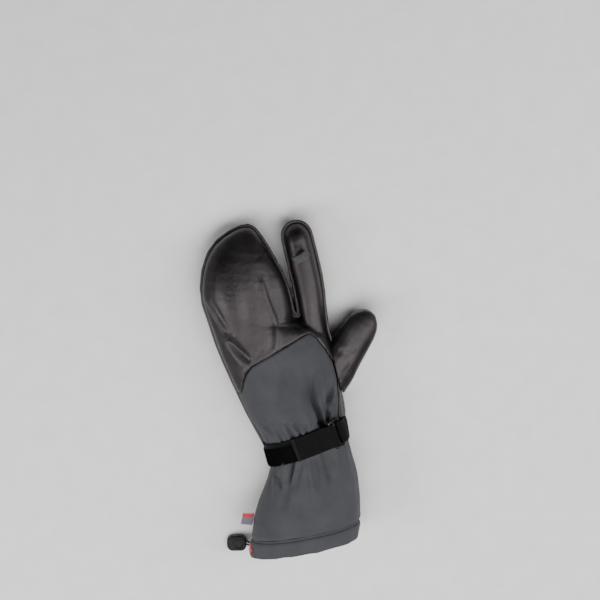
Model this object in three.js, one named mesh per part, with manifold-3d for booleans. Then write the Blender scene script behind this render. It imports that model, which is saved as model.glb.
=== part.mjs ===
// A left-hand split finger mitten for winter sport, lying palm down with its cuff open.
// Millimetres, +Z up, fingers towards +Y, thumb towards +X. The origin is on the surface that the
// mitten rests on, under the middle of its outline.
import * as THREE from "three";
import Module from "manifold-3d";

const wasm = await Module();
wasm.setup();

// Clearance between neighbouring pieces
const gap = 0.3;

// Walls of leather, insulation and lining together, and of the cuff's fabric
const padding = { side: 6, back: 7, palm: 4.5 };
const fingerPadding = { side: 4.6, back: 5, palm: 4.2 };
const cuffPadding = { side: 3.6, back: 3.6, palm: 3.4 };

const hemLength = 19;
const hemPuff = 0.9; // how far the folded hem stands out from the cuff

// The welt in the seam between back and palm leather
const weltThickness = 1.6;
const weltProud = 2.4;
const weltDepth = 3.2; // how far it reaches in between the two leathers

// How finely a section is divided over the back and over the palm side
const handSides = { back: 23, palm: 12 };
const innerSides = { back: 12, palm: 8 };
const fingerSides = { back: 9, palm: 7 };
const fingerInnerSides = { back: 6, palm: 5 };
const weltSides = { back: 6, palm: 6 };

// Rows of the hand and cuff, from the hem to the tip of the big compartment. x, y: middle of the
// section; half: half its width; low, top: height of the palm side and the back; turn: degrees
// about Z. What lies below 0 is pressed flat where the mitten rests.
const handRows = [
  { x: 15, y: -157.8, half: 57.5, low: -1.5, top: 74, turn: 10.5 },
  { x: 16.6, y: -137.1, half: 58, low: -2, top: 75, turn: 10.5 },
  { x: 18.2, y: -110.4, half: 56.5, low: -2, top: 74.5, turn: 12 },
  { x: 20, y: -88, half: 52.5, low: -0.5, top: 72, turn: 15 },
  { x: 20.5, y: -68, half: 47, low: 3, top: 68, turn: 19 },
  { x: 19.5, y: -44, half: 43, low: 6, top: 63.5, turn: 22 },
  { x: 14, y: -22, half: 47.5, low: 3, top: 65, turn: 20 },
  { x: 6.5, y: -3, half: 50.5, low: 0, top: 64, turn: 17 },
  { x: -0.5, y: 18, half: 53.5, low: -2.5, top: 62, turn: 14 },
  { x: -10.5, y: 46, half: 56.5, low: -3, top: 60, turn: 11 },
  { x: -19.5, y: 68, half: 57, low: -3, top: 58.5, turn: 9 },
  { x: -39, y: 84, half: 43.3, low: -3, top: 58, turn: 7 },
  { x: -41.1, y: 92, half: 43.9, low: -3, top: 57.5, turn: 6 },
  { x: -46.5, y: 111, half: 45, low: -3, top: 56.5, turn: 4 },
  { x: -49, y: 128, half: 43, low: -3, top: 55, turn: 2 },
  { x: -51, y: 146, half: 37.5, low: -2.5, top: 51.5, turn: -2 },
  { x: -51, y: 161, half: 30.5, low: -1.5, top: 47.5, turn: -5 },
  { x: -48.5, y: 174, half: 24.5, low: 0, top: 43.5, turn: -7 },
  { x: -44, y: 186, half: 17.5, low: 2, top: 40, turn: -8 },
];
const handTipRound = 34;

const indexRows = [
  { x: 26, y: 38, half: 13, low: 6, top: 42, turn: 8 },
  { x: 26, y: 66, half: 14, low: 3, top: 44, turn: 9 },
  { x: 23.5, y: 90, half: 13, low: 0, top: 43, turn: 11 },
  { x: 19.8, y: 120, half: 14, low: -1.5, top: 42, turn: 12 },
  { x: 14.5, y: 145, half: 14.4, low: -2, top: 40, turn: 12 },
  { x: 9, y: 168, half: 14.2, low: -1, top: 37, turn: 12 },
  { x: 4, y: 190, half: 13.6, low: 0, top: 34.5, turn: 12 },
];
const indexTipRound = 16;

const thumbRows = [
  { x: 27, y: -3, half: 17, low: 4, top: 36, turn: -20 },
  { x: 42, y: 22, half: 20.5, low: 0, top: 42, turn: -26 },
  { x: 55, y: 45, half: 20, low: -2, top: 42.5, turn: -29 },
  { x: 67, y: 65, half: 18.5, low: -2, top: 40.5, turn: -31 },
  { x: 77, y: 82, half: 17.5, low: -1.5, top: 38, turn: -31 },
  { x: 85, y: 95, half: 16.5, low: 0, top: 35, turn: -31 },
];
const thumbTipRound = 23;

// Height of the seam between back and palm leather along Y, which is also where a section is widest.
const seamRows = [
  { y: -190, z: 36 },
  { y: -60, z: 35 },
  { y: 0, z: 32 },
  { y: 60, z: 30 },
  { y: 120, z: 26.5 },
  { y: 160, z: 23 },
  { y: 200, z: 19.5 },
];

// Gathers that the strap pulls in. angle: degrees round the wrist, 0 on the thumb side and 90 on the
// back; depth and width (degrees) of the dent; above, below: how far it runs from the strap.
const gatherRows = [
  { angle: 14, depth: 3.0, width: 8, above: 24, below: 40 },
  { angle: 38, depth: 4.6, width: 7, above: 44, below: 34 },
  { angle: 59, depth: 5.6, width: 6.5, above: 52, below: 44 },
  { angle: 80, depth: 3.4, width: 6.5, above: 24, below: 34 },
  { angle: 99, depth: 4.4, width: 6.5, above: 22, below: 48 },
  { angle: 121, depth: 4.0, width: 7, above: 20, below: 32 },
  { angle: 146, depth: 3.4, width: 8, above: 22, below: 26 },
  { angle: 200, depth: 3.0, width: 10, above: 18, below: 34 },
  { angle: 238, depth: 3.2, width: 12, above: 18, below: 40 },
  { angle: 285, depth: 3.2, width: 12, above: 18, below: 42 },
  { angle: 330, depth: 3.0, width: 11, above: 18, below: 36 },
];
const gatherInside = 0.55; // share of a gather's depth that shows on the inner side

// Outline of the fabric panel on the back of the hand, seen from above. Both ends run past the hand.
const panelRows = [
  { x: -90, y: -6 },
  { x: -50, y: 12 },
  { x: -48.5, y: 24 },
  { x: -46, y: 33 },
  { x: -40, y: 42 },
  { x: -20, y: 54.5 },
  { x: 14, y: 74.5 },
  { x: 20, y: 76.5 },
  { x: 26, y: 73 },
  { x: 37, y: 58 },
  { x: 45.5, y: 43 },
  { x: 49, y: 28 },
  { x: 50.5, y: 5 },
  { x: 50, y: -24 },
  { x: 52, y: -90 },
];

// Wrist strap. along: distance of its middle line from the hem's edge. The other places are in mm
// over the back, from the middle of the thumb side.
const strap = { along: 117.8, width: 25, thickness: 1.8 };
const strapPlaces = { anchor: 11, farBar: 22, nearBar: 32.5, freeEnd: 71, sewn: 121 };
const strapRamp = 9; // length in which the strap comes down from the ring
const ring = { wire: 3.2, beyond: 4.1, slack: 0.6, corner: 2.4 };

// Loop for hanging the mitten up. along, angle: where it is sewn to the index finger; lift: degrees
// that it stands up; forward: degrees that it leans towards the fingertip, seen from above.
const hangLoop = {
  length: 22, width: 8.5, thickness: 1.5, height: 10.5, along: 117, angle: 121, lift: 34, forward: 41,
};

// Toggle of the hem's drawcord. out, below: place of its middle from the hem's corner.
const toggle = { length: 20.5, width: 16.5, height: 10.5, edge: 1.6, out: 15, below: 3.5 };
const toggleRing = { radius: 6.75, rise: 1, sunk: 1.4, edge: 0.5 };
const button = { radius: 5.1, thickness: 2.7, sunk: 0.4, edge: 0.4, travel: 1.5 };
const cord = { thickness: 2.1, angle: 196, height: 4.6, socket: 3.5 };
const cordSpread = { eyelet: 1.35, toggle: 2.1 }; // of each strand from the middle between them
const eyelet = { outer: 4.5, inner: 3.1, thickness: 1.1 };

// Labels. angle: where the arrow points from, in degrees round the hem; near, far: distances of the
// tag's edges from the hem's edge.
const arrow = { angle: 160, length: 24, head: 9, width: 14, shaft: 8.5, thickness: 0.8 };
const tag = { near: 34, far: 49.5, out: 12.5, lean: 1.2, thickness: 1.2 };

const toRadians = THREE.MathUtils.degToRad;

// A smooth curve through every named column of a table, read at a distance along its rows.
function curveThrough(rows, along) {
  const reach = along ? rows.map((row) => row[along]) : [0];
  if (!along)
    for (let i = 1; i < rows.length; i++)
      reach.push(reach[i - 1] + Math.hypot(rows[i].x - rows[i - 1].x, rows[i].y - rows[i - 1].y));
  const last = rows.length - 1;
  const steepness = (column, i) => {
    const before = Math.max(i - 1, 0);
    const after = Math.min(i + 1, last);
    return (rows[after][column] - rows[before][column]) / (reach[after] - reach[before]);
  };
  const read = (distance) => {
    let i = 0;
    while (i < last - 1 && distance > reach[i + 1]) i++;
    const span = reach[i + 1] - reach[i];
    const t = (distance - reach[i]) / span;
    const row = {};
    for (const column of Object.keys(rows[0])) {
      const rise = rows[i + 1][column] - rows[i][column];
      const start = steepness(column, i) * span;
      const end = steepness(column, i + 1) * span;
      const inside = t * (start + t * (3 * rise - 2 * start - end + t * (start + end - 2 * rise)));
      // Past either end the curve runs on straight.
      row[column] = t < 0
        ? rows[i][column] + start * t
        : t > 1
          ? rows[i + 1][column] + end * (t - 1)
          : rows[i][column] + inside;
    }
    return row;
  };
  return { read, length: reach[last] };
}

const hand = curveThrough(handRows);
const index = curveThrough(indexRows);
const thumb = curveThrough(thumbRows);
const seam = curveThrough(seamRows, "y");
const seamHeight = (y) => seam.read(y).z;

// Depth of the gathers at an angle and a distance along the hand. They begin under the strap's edges.
function gatherDepth(angle, distance) {
  const fromStrap = distance - strap.along;
  const edge = Math.abs(fromStrap) - 0.3 * strap.width;
  if (edge < 0) return 0;
  const opening = Math.min(edge / (0.6 * strap.width), 1);
  let depth = 0;
  for (const fold of gatherRows) {
    const reach = fromStrap > 0 ? fold.above : fold.below;
    const turned = ((THREE.MathUtils.radToDeg(angle) - fold.angle + 540) % 360) - 180;
    depth += fold.depth * opening * Math.exp(-((turned / fold.width) ** 2) - (edge / reach) ** 2);
  }
  return depth;
}

const smallest = 0.4; // that a section may shrink to at a tip
const power = (value, exponent) => Math.sign(value) * Math.abs(value) ** exponent;

// One point of a section, a rounded oval that is fuller on the palm side. grow pushes it out and
// dent pulls it in.
function sectionPoint(row, angle, grow = 0, dent = 0) {
  const middle = seamHeight(row.y);
  const up = Math.sin(angle) > 0;
  const roundness = up ? 2.15 : 2.6;
  const height = Math.max((up ? row.top - middle : middle - row.low) + grow, smallest);
  const across = Math.max(row.half + grow, smallest) * power(Math.cos(angle), 2 / roundness);
  const rise = height * power(Math.sin(angle), 2 / roundness);
  const kept = 1 - dent / Math.max(Math.hypot(across, rise), 1);
  const turn = toRadians(row.turn);
  return new THREE.Vector3(
    row.x + across * kept * Math.cos(turn),
    row.y + across * kept * Math.sin(turn),
    middle + rise * kept,
  );
}

// Angles round a section, more of them over the back than over the palm side.
const ringAngles = ({ back, palm }) => [
  ...Array.from({ length: back }, (_, i) => (Math.PI * i) / back),
  ...Array.from({ length: palm }, (_, i) => Math.PI * (1 + i / palm)),
];

// A closed solid through rings of points, which run clockwise seen from the last one. With closed
// set, the last ring joins the first.
function skin(rings, closed = false) {
  const sides = rings[0].length;
  const points = rings.flat();
  const triangles = [];
  const steps = closed ? rings.length : rings.length - 1;
  for (let i = 0; i < steps; i++)
    for (let j = 0; j < sides; j++) {
      const k = (j + 1) % sides;
      const next = ((i + 1) % rings.length) * sides;
      const [a, b, c, d] = [i * sides + j, i * sides + k, next + k, next + j];
      triangles.push(a, b, c, a, c, d);
    }
  if (!closed)
    for (const [ring, first] of [[rings[0], 0], [rings.at(-1), (rings.length - 1) * sides]]) {
      const middle = ring.reduce((sum, p) => sum.add(p), new THREE.Vector3()).divideScalar(sides);
      points.push(middle);
      for (let j = 0; j < sides; j++) {
        const [a, b] = [first + j, first + ((j + 1) % sides)];
        triangles.push(...(first ? [a, b, points.length - 1] : [b, a, points.length - 1]));
      }
    }
  return solidFrom(points, triangles);
}

const solidFrom = (points, triangles) => new wasm.Manifold(new wasm.Mesh({
  numProp: 3,
  vertProperties: new Float32Array(points.flatMap((p) => [p.x, p.y, p.z])),
  triVerts: new Uint32Array(triangles),
}));

// A three.js geometry as a solid. Points that coincide are merged.
function solidOf(geometry) {
  const plain = geometry.index ? geometry.toNonIndexed() : geometry;
  const seen = new Map();
  const points = [];
  const triangles = [];
  const position = plain.getAttribute("position");
  for (let i = 0; i < position.count; i++) {
    const p = new THREE.Vector3().fromBufferAttribute(position, i);
    const key = [p.x, p.y, p.z].map((v) => v.toFixed(4)).join();
    if (!seen.has(key)) seen.set(key, points.push(p) - 1);
    triangles.push(seen.get(key));
  }
  return solidFrom(points, triangles);
}

// Distances along a table: even steps, closer together where the tip rounds off.
function stations(from, to, step, tipRound) {
  const straightEnd = to - tipRound;
  const count = Math.max(Math.round((straightEnd - from) / step), 1);
  const list = Array.from({ length: count + 1 }, (_, i) => from + ((straightEnd - from) * i) / count);
  const turns = tipRound ? Math.max(Math.round((1.35 * tipRound) / step), 4) : 0;
  for (let i = 1; i <= turns; i++)
    list.push(straightEnd + tipRound * Math.sin((nearlyWhole * i * Math.PI) / (2 * turns)));
  return list;
}
const nearlyWhole = 0.985; // a tip ends in a small face, not in a point

// A solid along a table, closed by a rounded tip if tipRound is set. grow pushes its surface out,
// wall(distance) brings it in, and gathers is the share of the strap's dents that it has.
function limb(table, {
  from = 0, to = table.length, step, sides, wall, grow = 0, tipRound = 0, tipInset = 0, gathers = 0,
}) {
  const end = to - tipInset;
  const rings = stations(from, end, step, tipRound).map((distance) => {
    const row = table.read(distance);
    const into = tipRound ? Math.max((distance - end + tipRound) / tipRound, 0) : 0;
    const rounded = Math.sqrt(Math.max(1 - into * into, 0));
    const level = seamHeight(row.y);
    const outward = typeof grow === "function" ? grow(distance) : grow;
    const inset = wall ? wall(distance) : { side: -outward, back: -outward, palm: -outward };
    const sized = {
      ...row,
      half: (row.half - inset.side) * rounded,
      top: level + (row.top - inset.back - level) * rounded,
      low: level - (level - row.low - inset.palm) * rounded,
    };
    return ringAngles(sides).map((angle) =>
      sectionPoint(sized, angle, 0, gathers * gatherDepth(angle, distance)));
  });
  return skin(rings.map((ring) => ring.reverse()));
}

// What lies under the resting surface is flattened onto it.
const wide = 600;
const underFloor = solidOf(new THREE.BoxGeometry(wide, wide, 100).translate(0, 0, -50));
const flattened = (solid) => solid.subtract(underFloor);

const largest = (solid) => solid.decompose().sort((a, b) => b.volume() - a.volume())[0];

// The cuff's thin wall becomes the hand's padded one from a little below the strap.
const handWall = (distance) => {
  const share = THREE.MathUtils.smoothstep(distance, strap.along - 14, strap.along + 26);
  const mix = (part) => THREE.MathUtils.lerp(cuffPadding[part], padding[part], share);
  return { side: mix("side"), back: mix("back"), palm: mix("palm") };
};

const cuffTop = hemLength + gap;
const handForm = { from: cuffTop, step: 10, sides: handSides, tipRound: handTipRound, gathers: 1 };
const indexForm = { step: 12, sides: fingerSides, tipRound: indexTipRound };
const thumbForm = { step: 12, sides: fingerSides, tipRound: thumbTipRound };
const handHollow = {
  step: 18, sides: innerSides, wall: handWall, tipRound: handTipRound - padding.back,
  tipInset: padding.back, gathers: gatherInside,
};
const fingerHollow = {
  step: 20, sides: fingerInnerSides, wall: () => fingerPadding, tipInset: fingerPadding.back,
};

const cavity = limb(hand, { ...handHollow, from: cuffTop - 6 })
  .add(limb(index, { ...fingerHollow, from: 12, tipRound: indexTipRound - 4 }))
  .add(limb(thumb, { ...fingerHollow, from: 14, tipRound: thumbTipRound - 4 }));
const handAndIndex = (grow) =>
  limb(hand, { ...handForm, grow }).add(limb(index, { ...indexForm, grow }));
const handShell = flattened(handAndIndex(0)).subtract(cavity);

// A slab that follows the seam's height, from one offset above it to another.
function alongSeam(lowest, highest) {
  const ys = Array.from({ length: 14 }, (_, i) => -200 + 32 * i);
  const outline = [
    ...ys.map((y) => new THREE.Vector2(y, seamHeight(y) + lowest)),
    ...ys.map((y) => new THREE.Vector2(y, seamHeight(y) + highest)).reverse(),
  ];
  const slab = new THREE.ExtrudeGeometry(new THREE.Shape(outline), {
    depth: wide, bevelEnabled: false,
  });
  // The outline is drawn in Y and Z, and runs along X.
  const toYZ = new THREE.Matrix4().makeBasis(
    new THREE.Vector3(0, 1, 0), new THREE.Vector3(0, 0, 1), new THREE.Vector3(1, 0, 0));
  return solidOf(slab.applyMatrix4(toYZ).translate(-wide / 2, 0, 0));
}

// Everything on the hem's side of the strap's middle line, moved towards the fingers by shift.
function cuffSide(shift) {
  const row = hand.read(strap.along);
  const box = new THREE.BoxGeometry(wide, wide, wide).translate(0, -wide / 2 + shift, 0);
  box.rotateZ(toRadians(row.turn)).translate(row.x, row.y, 0);
  return solidOf(box);
}

// An open outline moved to its left by a distance.
const shiftedLeft = (points, distance) => points.map((point, i) => {
  const before = points[Math.max(i - 1, 0)];
  const after = points[Math.min(i + 1, points.length - 1)];
  const run = new THREE.Vector2(after.x - before.x, after.y - before.y).normalize();
  return new THREE.Vector2(point.x - run.y * distance, point.y + run.x * distance);
});

// The fabric's region: the panel's outline on the back, down to the side seams, and the whole cuff.
function fabricRegion(growth) {
  const outline = shiftedLeft(panelRows, growth);
  outline.push(new THREE.Vector2(90, -120), new THREE.Vector2(-90, -120));
  const panel = new THREE.ExtrudeGeometry(new THREE.Shape(outline), {
    depth: 120, bevelEnabled: false,
  });
  return solidOf(panel)
    .intersect(alongSeam(weltThickness / 2 + gap - growth, 200))
    .add(cuffSide(growth));
}

const seamRoom = weltThickness / 2 + gap;
const leather = handShell.subtract(fabricRegion(gap));
const backLeather = () => largest(leather.intersect(alongSeam(seamRoom, 200)));
const palmLeather = () => largest(leather.intersect(alongSeam(-200, -seamRoom)));
const thumbLeather = () =>
  largest(flattened(limb(thumb, thumbForm)).subtract(handAndIndex(gap)).subtract(cavity));
const gauntlet = () => largest(handShell.intersect(fabricRegion(0)));

// The welt stands in the seam between back and palm leather, from the strap round both compartments.
function outseamWelt() {
  const from = strap.along + 0.56 * strap.width;
  const coarse = { step: 16, sides: weltSides };
  const outward = { ...coarse, grow: weltProud };
  const inward = { ...coarse, grow: -weltDepth, tipInset: weltDepth };
  const outer = limb(hand, { ...handForm, ...outward, from, to: hand.length + weltProud })
    .add(limb(index, { ...indexForm, ...outward, from: 30, to: index.length + weltProud }));
  const inner = limb(hand, { ...handForm, ...inward, from: from - 10 })
    .add(limb(index, { ...indexForm, ...inward }));
  return largest(outer.subtract(inner)
    .intersect(alongSeam(-weltThickness / 2, weltThickness / 2))
    .subtract(limb(thumb, { ...thumbForm, grow: gap })));
}

// The hem is the cuff's folded end, a little fuller than the cuff.
const hemPuffAt = (distance) =>
  hemPuff * Math.sqrt(Math.max(Math.sin((Math.PI * distance) / hemLength), 0.02));
function hemChannel() {
  const outer = limb(hand, { to: hemLength, step: 5, sides: handSides, grow: hemPuffAt, gathers: 1 });
  const inner = limb(hand, { ...handHollow, from: -6, to: hemLength + 6, step: 8, tipRound: 0, tipInset: 0 });
  return flattened(outer).subtract(inner);
}

// How far round a section an angle is, in mm from the middle of the thumb side.
function overAt(row, angle) {
  const steps = 60;
  const point = (i) => sectionPoint(row, (angle * i) / steps);
  let length = 0;
  for (let i = 1; i <= steps; i++) length += point(i).distanceTo(point(i - 1));
  return length;
}

// Moves every point of a geometry to the place that a function gives for it.
function moved(geometry, place) {
  const position = geometry.getAttribute("position");
  for (let i = 0; i < position.count; i++) {
    const p = place(position.getX(i), position.getY(i), position.getZ(i));
    position.setXYZ(i, p.x, p.y, p.z);
  }
  return geometry;
}

// Coordinates on the hand's surface round one section: mm over the back from the middle of the thumb
// side, height above the surface, and mm towards the fingers, square to the section's edge.
function aroundSection(distance, puff = () => 0) {
  const row = hand.read(distance);
  const angles = Array.from({ length: 181 }, (_, i) => (2 * Math.PI * i) / 180);
  const reach = [0];
  for (let i = 1; i < angles.length; i++)
    reach.push(reach[i - 1] + sectionPoint(row, angles[i]).distanceTo(sectionPoint(row, angles[i - 1])));
  const angleAt = (over) => {
    let i = 1;
    while (i < reach.length - 1 && reach[i] < over) i++;
    const share = (over - reach[i - 1]) / (reach[i] - reach[i - 1]);
    return THREE.MathUtils.lerp(angles[i - 1], angles[i], share);
  };
  const place = (over, height, ahead) =>
    sectionPoint(hand.read(distance + ahead), angleAt(over), height + puff(distance + ahead));
  return (over, height, ahead) => {
    const round = place(over + 0.5, height, 0).sub(place(over - 0.5, height, 0)).normalize();
    const forward = place(over, height, 0.5).sub(place(over, height, -0.5));
    const skew = forward.dot(round);
    const stretched = ahead / Math.sqrt(forward.lengthSq() - skew * skew);
    return place(over - stretched * skew, height, stretched);
  };
}
const onStrap = aroundSection(strap.along);

// A length of the strap along a path of { over, height } points.
function strapAlongPath(path) {
  const middle = path.map(({ over, height }) => new THREE.Vector2(over, height));
  const outline = new THREE.Shape([
    ...shiftedLeft(middle, -strap.thickness / 2),
    ...shiftedLeft(middle, strap.thickness / 2).reverse(),
  ]);
  const strip = new THREE.ExtrudeGeometry(outline, { depth: strap.width, bevelEnabled: false })
    .translate(0, 0, -strap.width / 2);
  return solidOf(moved(strip, onStrap));
}

// Evenly spaced points between two places on the strap, changing from one height to another.
function strapRun(from, to, startHeight, endHeight, step) {
  const count = Math.max(Math.round(Math.abs(to - from) / step), 1);
  return Array.from({ length: count + 1 }, (_, i) => ({
    over: THREE.MathUtils.lerp(from, to, i / count),
    height: THREE.MathUtils.lerp(startHeight, endHeight, THREE.MathUtils.smoothstep(i / count, 0, 1)),
  }));
}

// Heights of the strap's middle in its lower and upper layer, of the ring's bars, and of the strap
// above a bar.
const lower = gap + strap.thickness / 2;
const upper = 2 * gap + 1.5 * strap.thickness;
const turnRadius = ring.wire / 2 + ring.slack + strap.thickness / 2;
const barHeight = lower + turnRadius;
const aboveBar = barHeight + turnRadius;
const fine = 3;
const coarse = 6;

// The strap's turn round one bar, from its lower to its upper side. side: 1 or -1, where it bulges.
const strapTurn = (over, side) => Array.from({ length: 7 }, (_, i) => {
  const angle = -Math.PI / 2 + (Math.PI * (i + 1)) / 8;
  return {
    over: over + side * turnRadius * Math.cos(angle),
    height: barHeight + turnRadius * Math.sin(angle),
  };
});

function strapLoopWebbing() {
  const { sewn, nearBar } = strapPlaces;
  return strapAlongPath(strapRun(sewn, nearBar + strapRamp + gap, lower, lower, coarse));
}

function strapTab() {
  const { nearBar, freeEnd } = strapPlaces;
  const down = nearBar + strapRamp;
  return strapAlongPath([
    ...strapRun(down, nearBar, lower, lower, fine),
    ...strapTurn(nearBar, -1),
    ...strapRun(nearBar, down, aboveBar, upper, fine),
    ...strapRun(down, freeEnd, upper, upper, coarse).slice(1),
  ]);
}

function strapAnchor() {
  const { anchor, farBar } = strapPlaces;
  return strapAlongPath([
    ...strapRun(anchor, farBar, lower, lower, fine),
    ...strapTurn(farBar, 1),
    ...strapRun(farBar, farBar - strapRamp, aboveBar, upper, fine),
    { over: anchor, height: upper },
  ]);
}

// A rectangular ring of round wire, flat over the strap, with one bar in each turn of the strap.
function strapRing() {
  const barEnds = (over) => [-1, 1].map((side) => onStrap(over, barHeight, (side * strap.width) / 2));
  const between = ([a, b]) => a.clone().add(b).divideScalar(2);
  const near = barEnds(strapPlaces.nearBar);
  const far = barEnds(strapPlaces.farBar);
  const middle = between([between(near), between(far)]);
  const run = between(near).sub(between(far));
  const halfRun = run.length() / 2;
  run.normalize();
  const width = near[1].clone().sub(near[0]).add(far[1]).sub(far[0]);
  width.addScaledVector(run, -width.dot(run)).normalize();
  const normal = run.clone().cross(width);
  const halfWidth = strap.width / 2 + ring.beyond - ring.wire / 2;
  const wireSides = 8;
  const cornerSteps = 3;
  const rings = [];
  for (let quarter = 0; quarter < 4; quarter++)
    for (let i = 0; i <= cornerSteps; i++) {
      const angle = ((quarter + i / cornerSteps) * Math.PI) / 2;
      const outward = run.clone().multiplyScalar(Math.cos(angle)).addScaledVector(width, Math.sin(angle));
      const runSide = quarter === 0 || quarter === 3 ? 1 : -1;
      const widthSide = quarter < 2 ? 1 : -1;
      const centre = middle.clone()
        .addScaledVector(run, runSide * (halfRun - ring.corner))
        .addScaledVector(width, widthSide * (halfWidth - ring.corner))
        .addScaledVector(outward, ring.corner);
      rings.push(Array.from({ length: wireSides }, (_, j) => {
        const around = (2 * Math.PI * (j + 0.5)) / wireSides;
        return centre.clone()
          .addScaledVector(outward, (ring.wire / 2) * Math.cos(around))
          .addScaledVector(normal, (ring.wire / 2) * Math.sin(around));
      }));
    }
  return skin(rings.reverse(), true);
}

// The outline round two circles on one axis, the second one larger.
function beltOutline(path, start, startRadius, end, endRadius) {
  const slant = Math.PI / 2 + Math.asin((endRadius - startRadius) / (end - start));
  path.absarc(end, 0, endRadius, -slant, slant, false);
  path.absarc(start, 0, startRadius, slant, 2 * Math.PI - slant, false);
  return path;
}

// The webbing loop stands open over the index finger. Its sewn end follows the finger.
function hangLoopSolid() {
  const { length, width, thickness, height, along, angle, lift, forward } = hangLoop;
  const end = length - height / 2;
  const outline = beltOutline(new THREE.Shape(), thickness, thickness, end, height / 2);
  outline.holes.push(beltOutline(new THREE.Path(), 3 * thickness, gap, end, height / 2 - thickness));
  const strip = new THREE.ExtrudeGeometry(outline, {
    depth: width, bevelEnabled: false, curveSegments: 8,
  }).translate(0, 0, -width / 2);
  const upright = new THREE.Vector3(0, 0, 1);
  const acrossFinger = new THREE.Vector3(1, 0, 0).applyAxisAngle(upright, toRadians(forward));
  const alongFinger = upright.clone().cross(acrossFinger);
  const reach = acrossFinger.applyAxisAngle(alongFinger, -toRadians(lift));
  const face = alongFinger.clone().cross(reach);
  const root = sectionPoint(index.read(along), toRadians(angle), gap);
  strip.applyMatrix4(new THREE.Matrix4().makeBasis(reach, face, alongFinger)).translate(...root);
  return largest(solidOf(strip).subtract(handAndIndex(gap)));
}

// Coordinates on the hem, as on the strap
const onHem = aroundSection(hemLength / 2, hemPuffAt);
const hemRow = hand.read(hemLength / 2);
const overHem = (degrees) => overAt(hemRow, toRadians(degrees));
const cordOver = overHem(cord.angle);

// The toggle lies on the resting surface beside the hem's corner on the little finger side.
const hemCorner = sectionPoint(hemRow, Math.PI);
const toggleX = hemCorner.x - toggle.out;
const toggleY = hemCorner.y - toggle.below;
const pressX = toggleX + toggle.length / 2 - toggle.edge - toggleRing.radius; // middle of the button

// An upright round disc with softened edges.
function disc({ radius, low, high, edge = 0 }) {
  const outline = new THREE.Shape();
  outline.absarc(0, 0, radius - edge, 0, 2 * Math.PI);
  return solidOf(new THREE.ExtrudeGeometry(outline, {
    depth: high - low - 2 * edge, bevelEnabled: edge > 0, bevelSize: edge, bevelThickness: edge,
    bevelSegments: 1, curveSegments: 10,
  }).translate(pressX, toggleY, low + edge));
}

// A rounded block with a raised ring round the button's recess and two sockets for the cord.
function cordLockBody() {
  const { length, width, height, edge } = toggle;
  const halfLength = length / 2 - edge;
  const halfWidth = width / 2 - edge;
  const nose = { x: halfLength - 3, y: 0.82 * halfWidth };
  const outline = new THREE.Shape();
  outline.moveTo(nose.x, -nose.y);
  outline.quadraticCurveTo(halfLength, -nose.y, halfLength, 0);
  outline.quadraticCurveTo(halfLength, nose.y, nose.x, nose.y);
  outline.bezierCurveTo(0, 1.05 * halfWidth, -halfLength, 1.25 * halfWidth, -halfLength, 0);
  outline.bezierCurveTo(-halfLength, -1.25 * halfWidth, 0, -1.05 * halfWidth, nose.x, -nose.y);
  const block = solidOf(new THREE.ExtrudeGeometry(outline, {
    depth: height - toggleRing.rise - 2 * edge, bevelSize: edge, bevelThickness: edge, bevelSegments: 2,
    curveSegments: 5,
  }).translate(toggleX, toggleY, edge));
  const ringLow = height - toggleRing.rise - toggleRing.sunk;
  const recessLow = height - button.sunk - button.thickness - button.travel - 2 * gap;
  const ringed = block
    .add(disc({ radius: toggleRing.radius, low: ringLow, high: height, edge: toggleRing.edge }))
    .subtract(disc({ radius: button.radius + gap, low: recessLow, high: height + 1 }));
  const socketRadius = cord.thickness / 2 + gap;
  return [-1, 1].reduce((solid, side) => solid.subtract(solidOf(
    new THREE.CylinderGeometry(socketRadius, socketRadius, 2 * cord.socket, 8)
      .rotateZ(Math.PI / 2)
      .translate(toggleX + length / 2, toggleY + side * cordSpread.toggle, cord.height))), ringed);
}

function cordLockButton() {
  const high = toggle.height - button.sunk;
  return disc({ radius: button.radius, low: high - button.thickness, high, edge: button.edge });
}

// One strand of the drawcord, out of the hem and into the toggle.
function drawCord(side) {
  const start = onHem(cordOver, 1.5 * gap, side * cordSpread.eyelet);
  const out = onHem(cordOver, 2 * cord.thickness, side * cordSpread.eyelet);
  const end = new THREE.Vector3(
    toggleX + toggle.length / 2 - cord.socket + gap,
    toggleY + side * cordSpread.toggle,
    cord.height,
  );
  const before = end.clone().setX(end.x + cord.socket + cord.thickness / 2);
  const section = new THREE.Shape();
  section.absarc(0, 0, cord.thickness / 2, 0, 2 * Math.PI);
  return solidOf(new THREE.ExtrudeGeometry(section, {
    steps: 6, extrudePath: new THREE.CatmullRomCurve3([start, out, before, end]), curveSegments: 4,
    bevelEnabled: false,
  }));
}

// A domed metal ring round the place where the cord leaves the hem.
function cordEyelet() {
  const { outer, inner, thickness } = eyelet;
  const profile = [
    [inner, 0],
    [outer, 0],
    [outer, thickness / 2],
    [(outer + inner) / 2, thickness],
    [inner, thickness / 2],
    [inner, 0],
  ].map(([radius, height]) => new THREE.Vector2(radius, height));
  const middle = onHem(cordOver, 2.8 * gap, 0);
  const outward = onHem(cordOver, outer, 0).sub(middle).normalize();
  const turn = new THREE.Quaternion().setFromUnitVectors(new THREE.Vector3(0, 1, 0), outward);
  return solidOf(new THREE.LatheGeometry(profile, 20).applyQuaternion(turn).translate(...middle));
}

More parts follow.
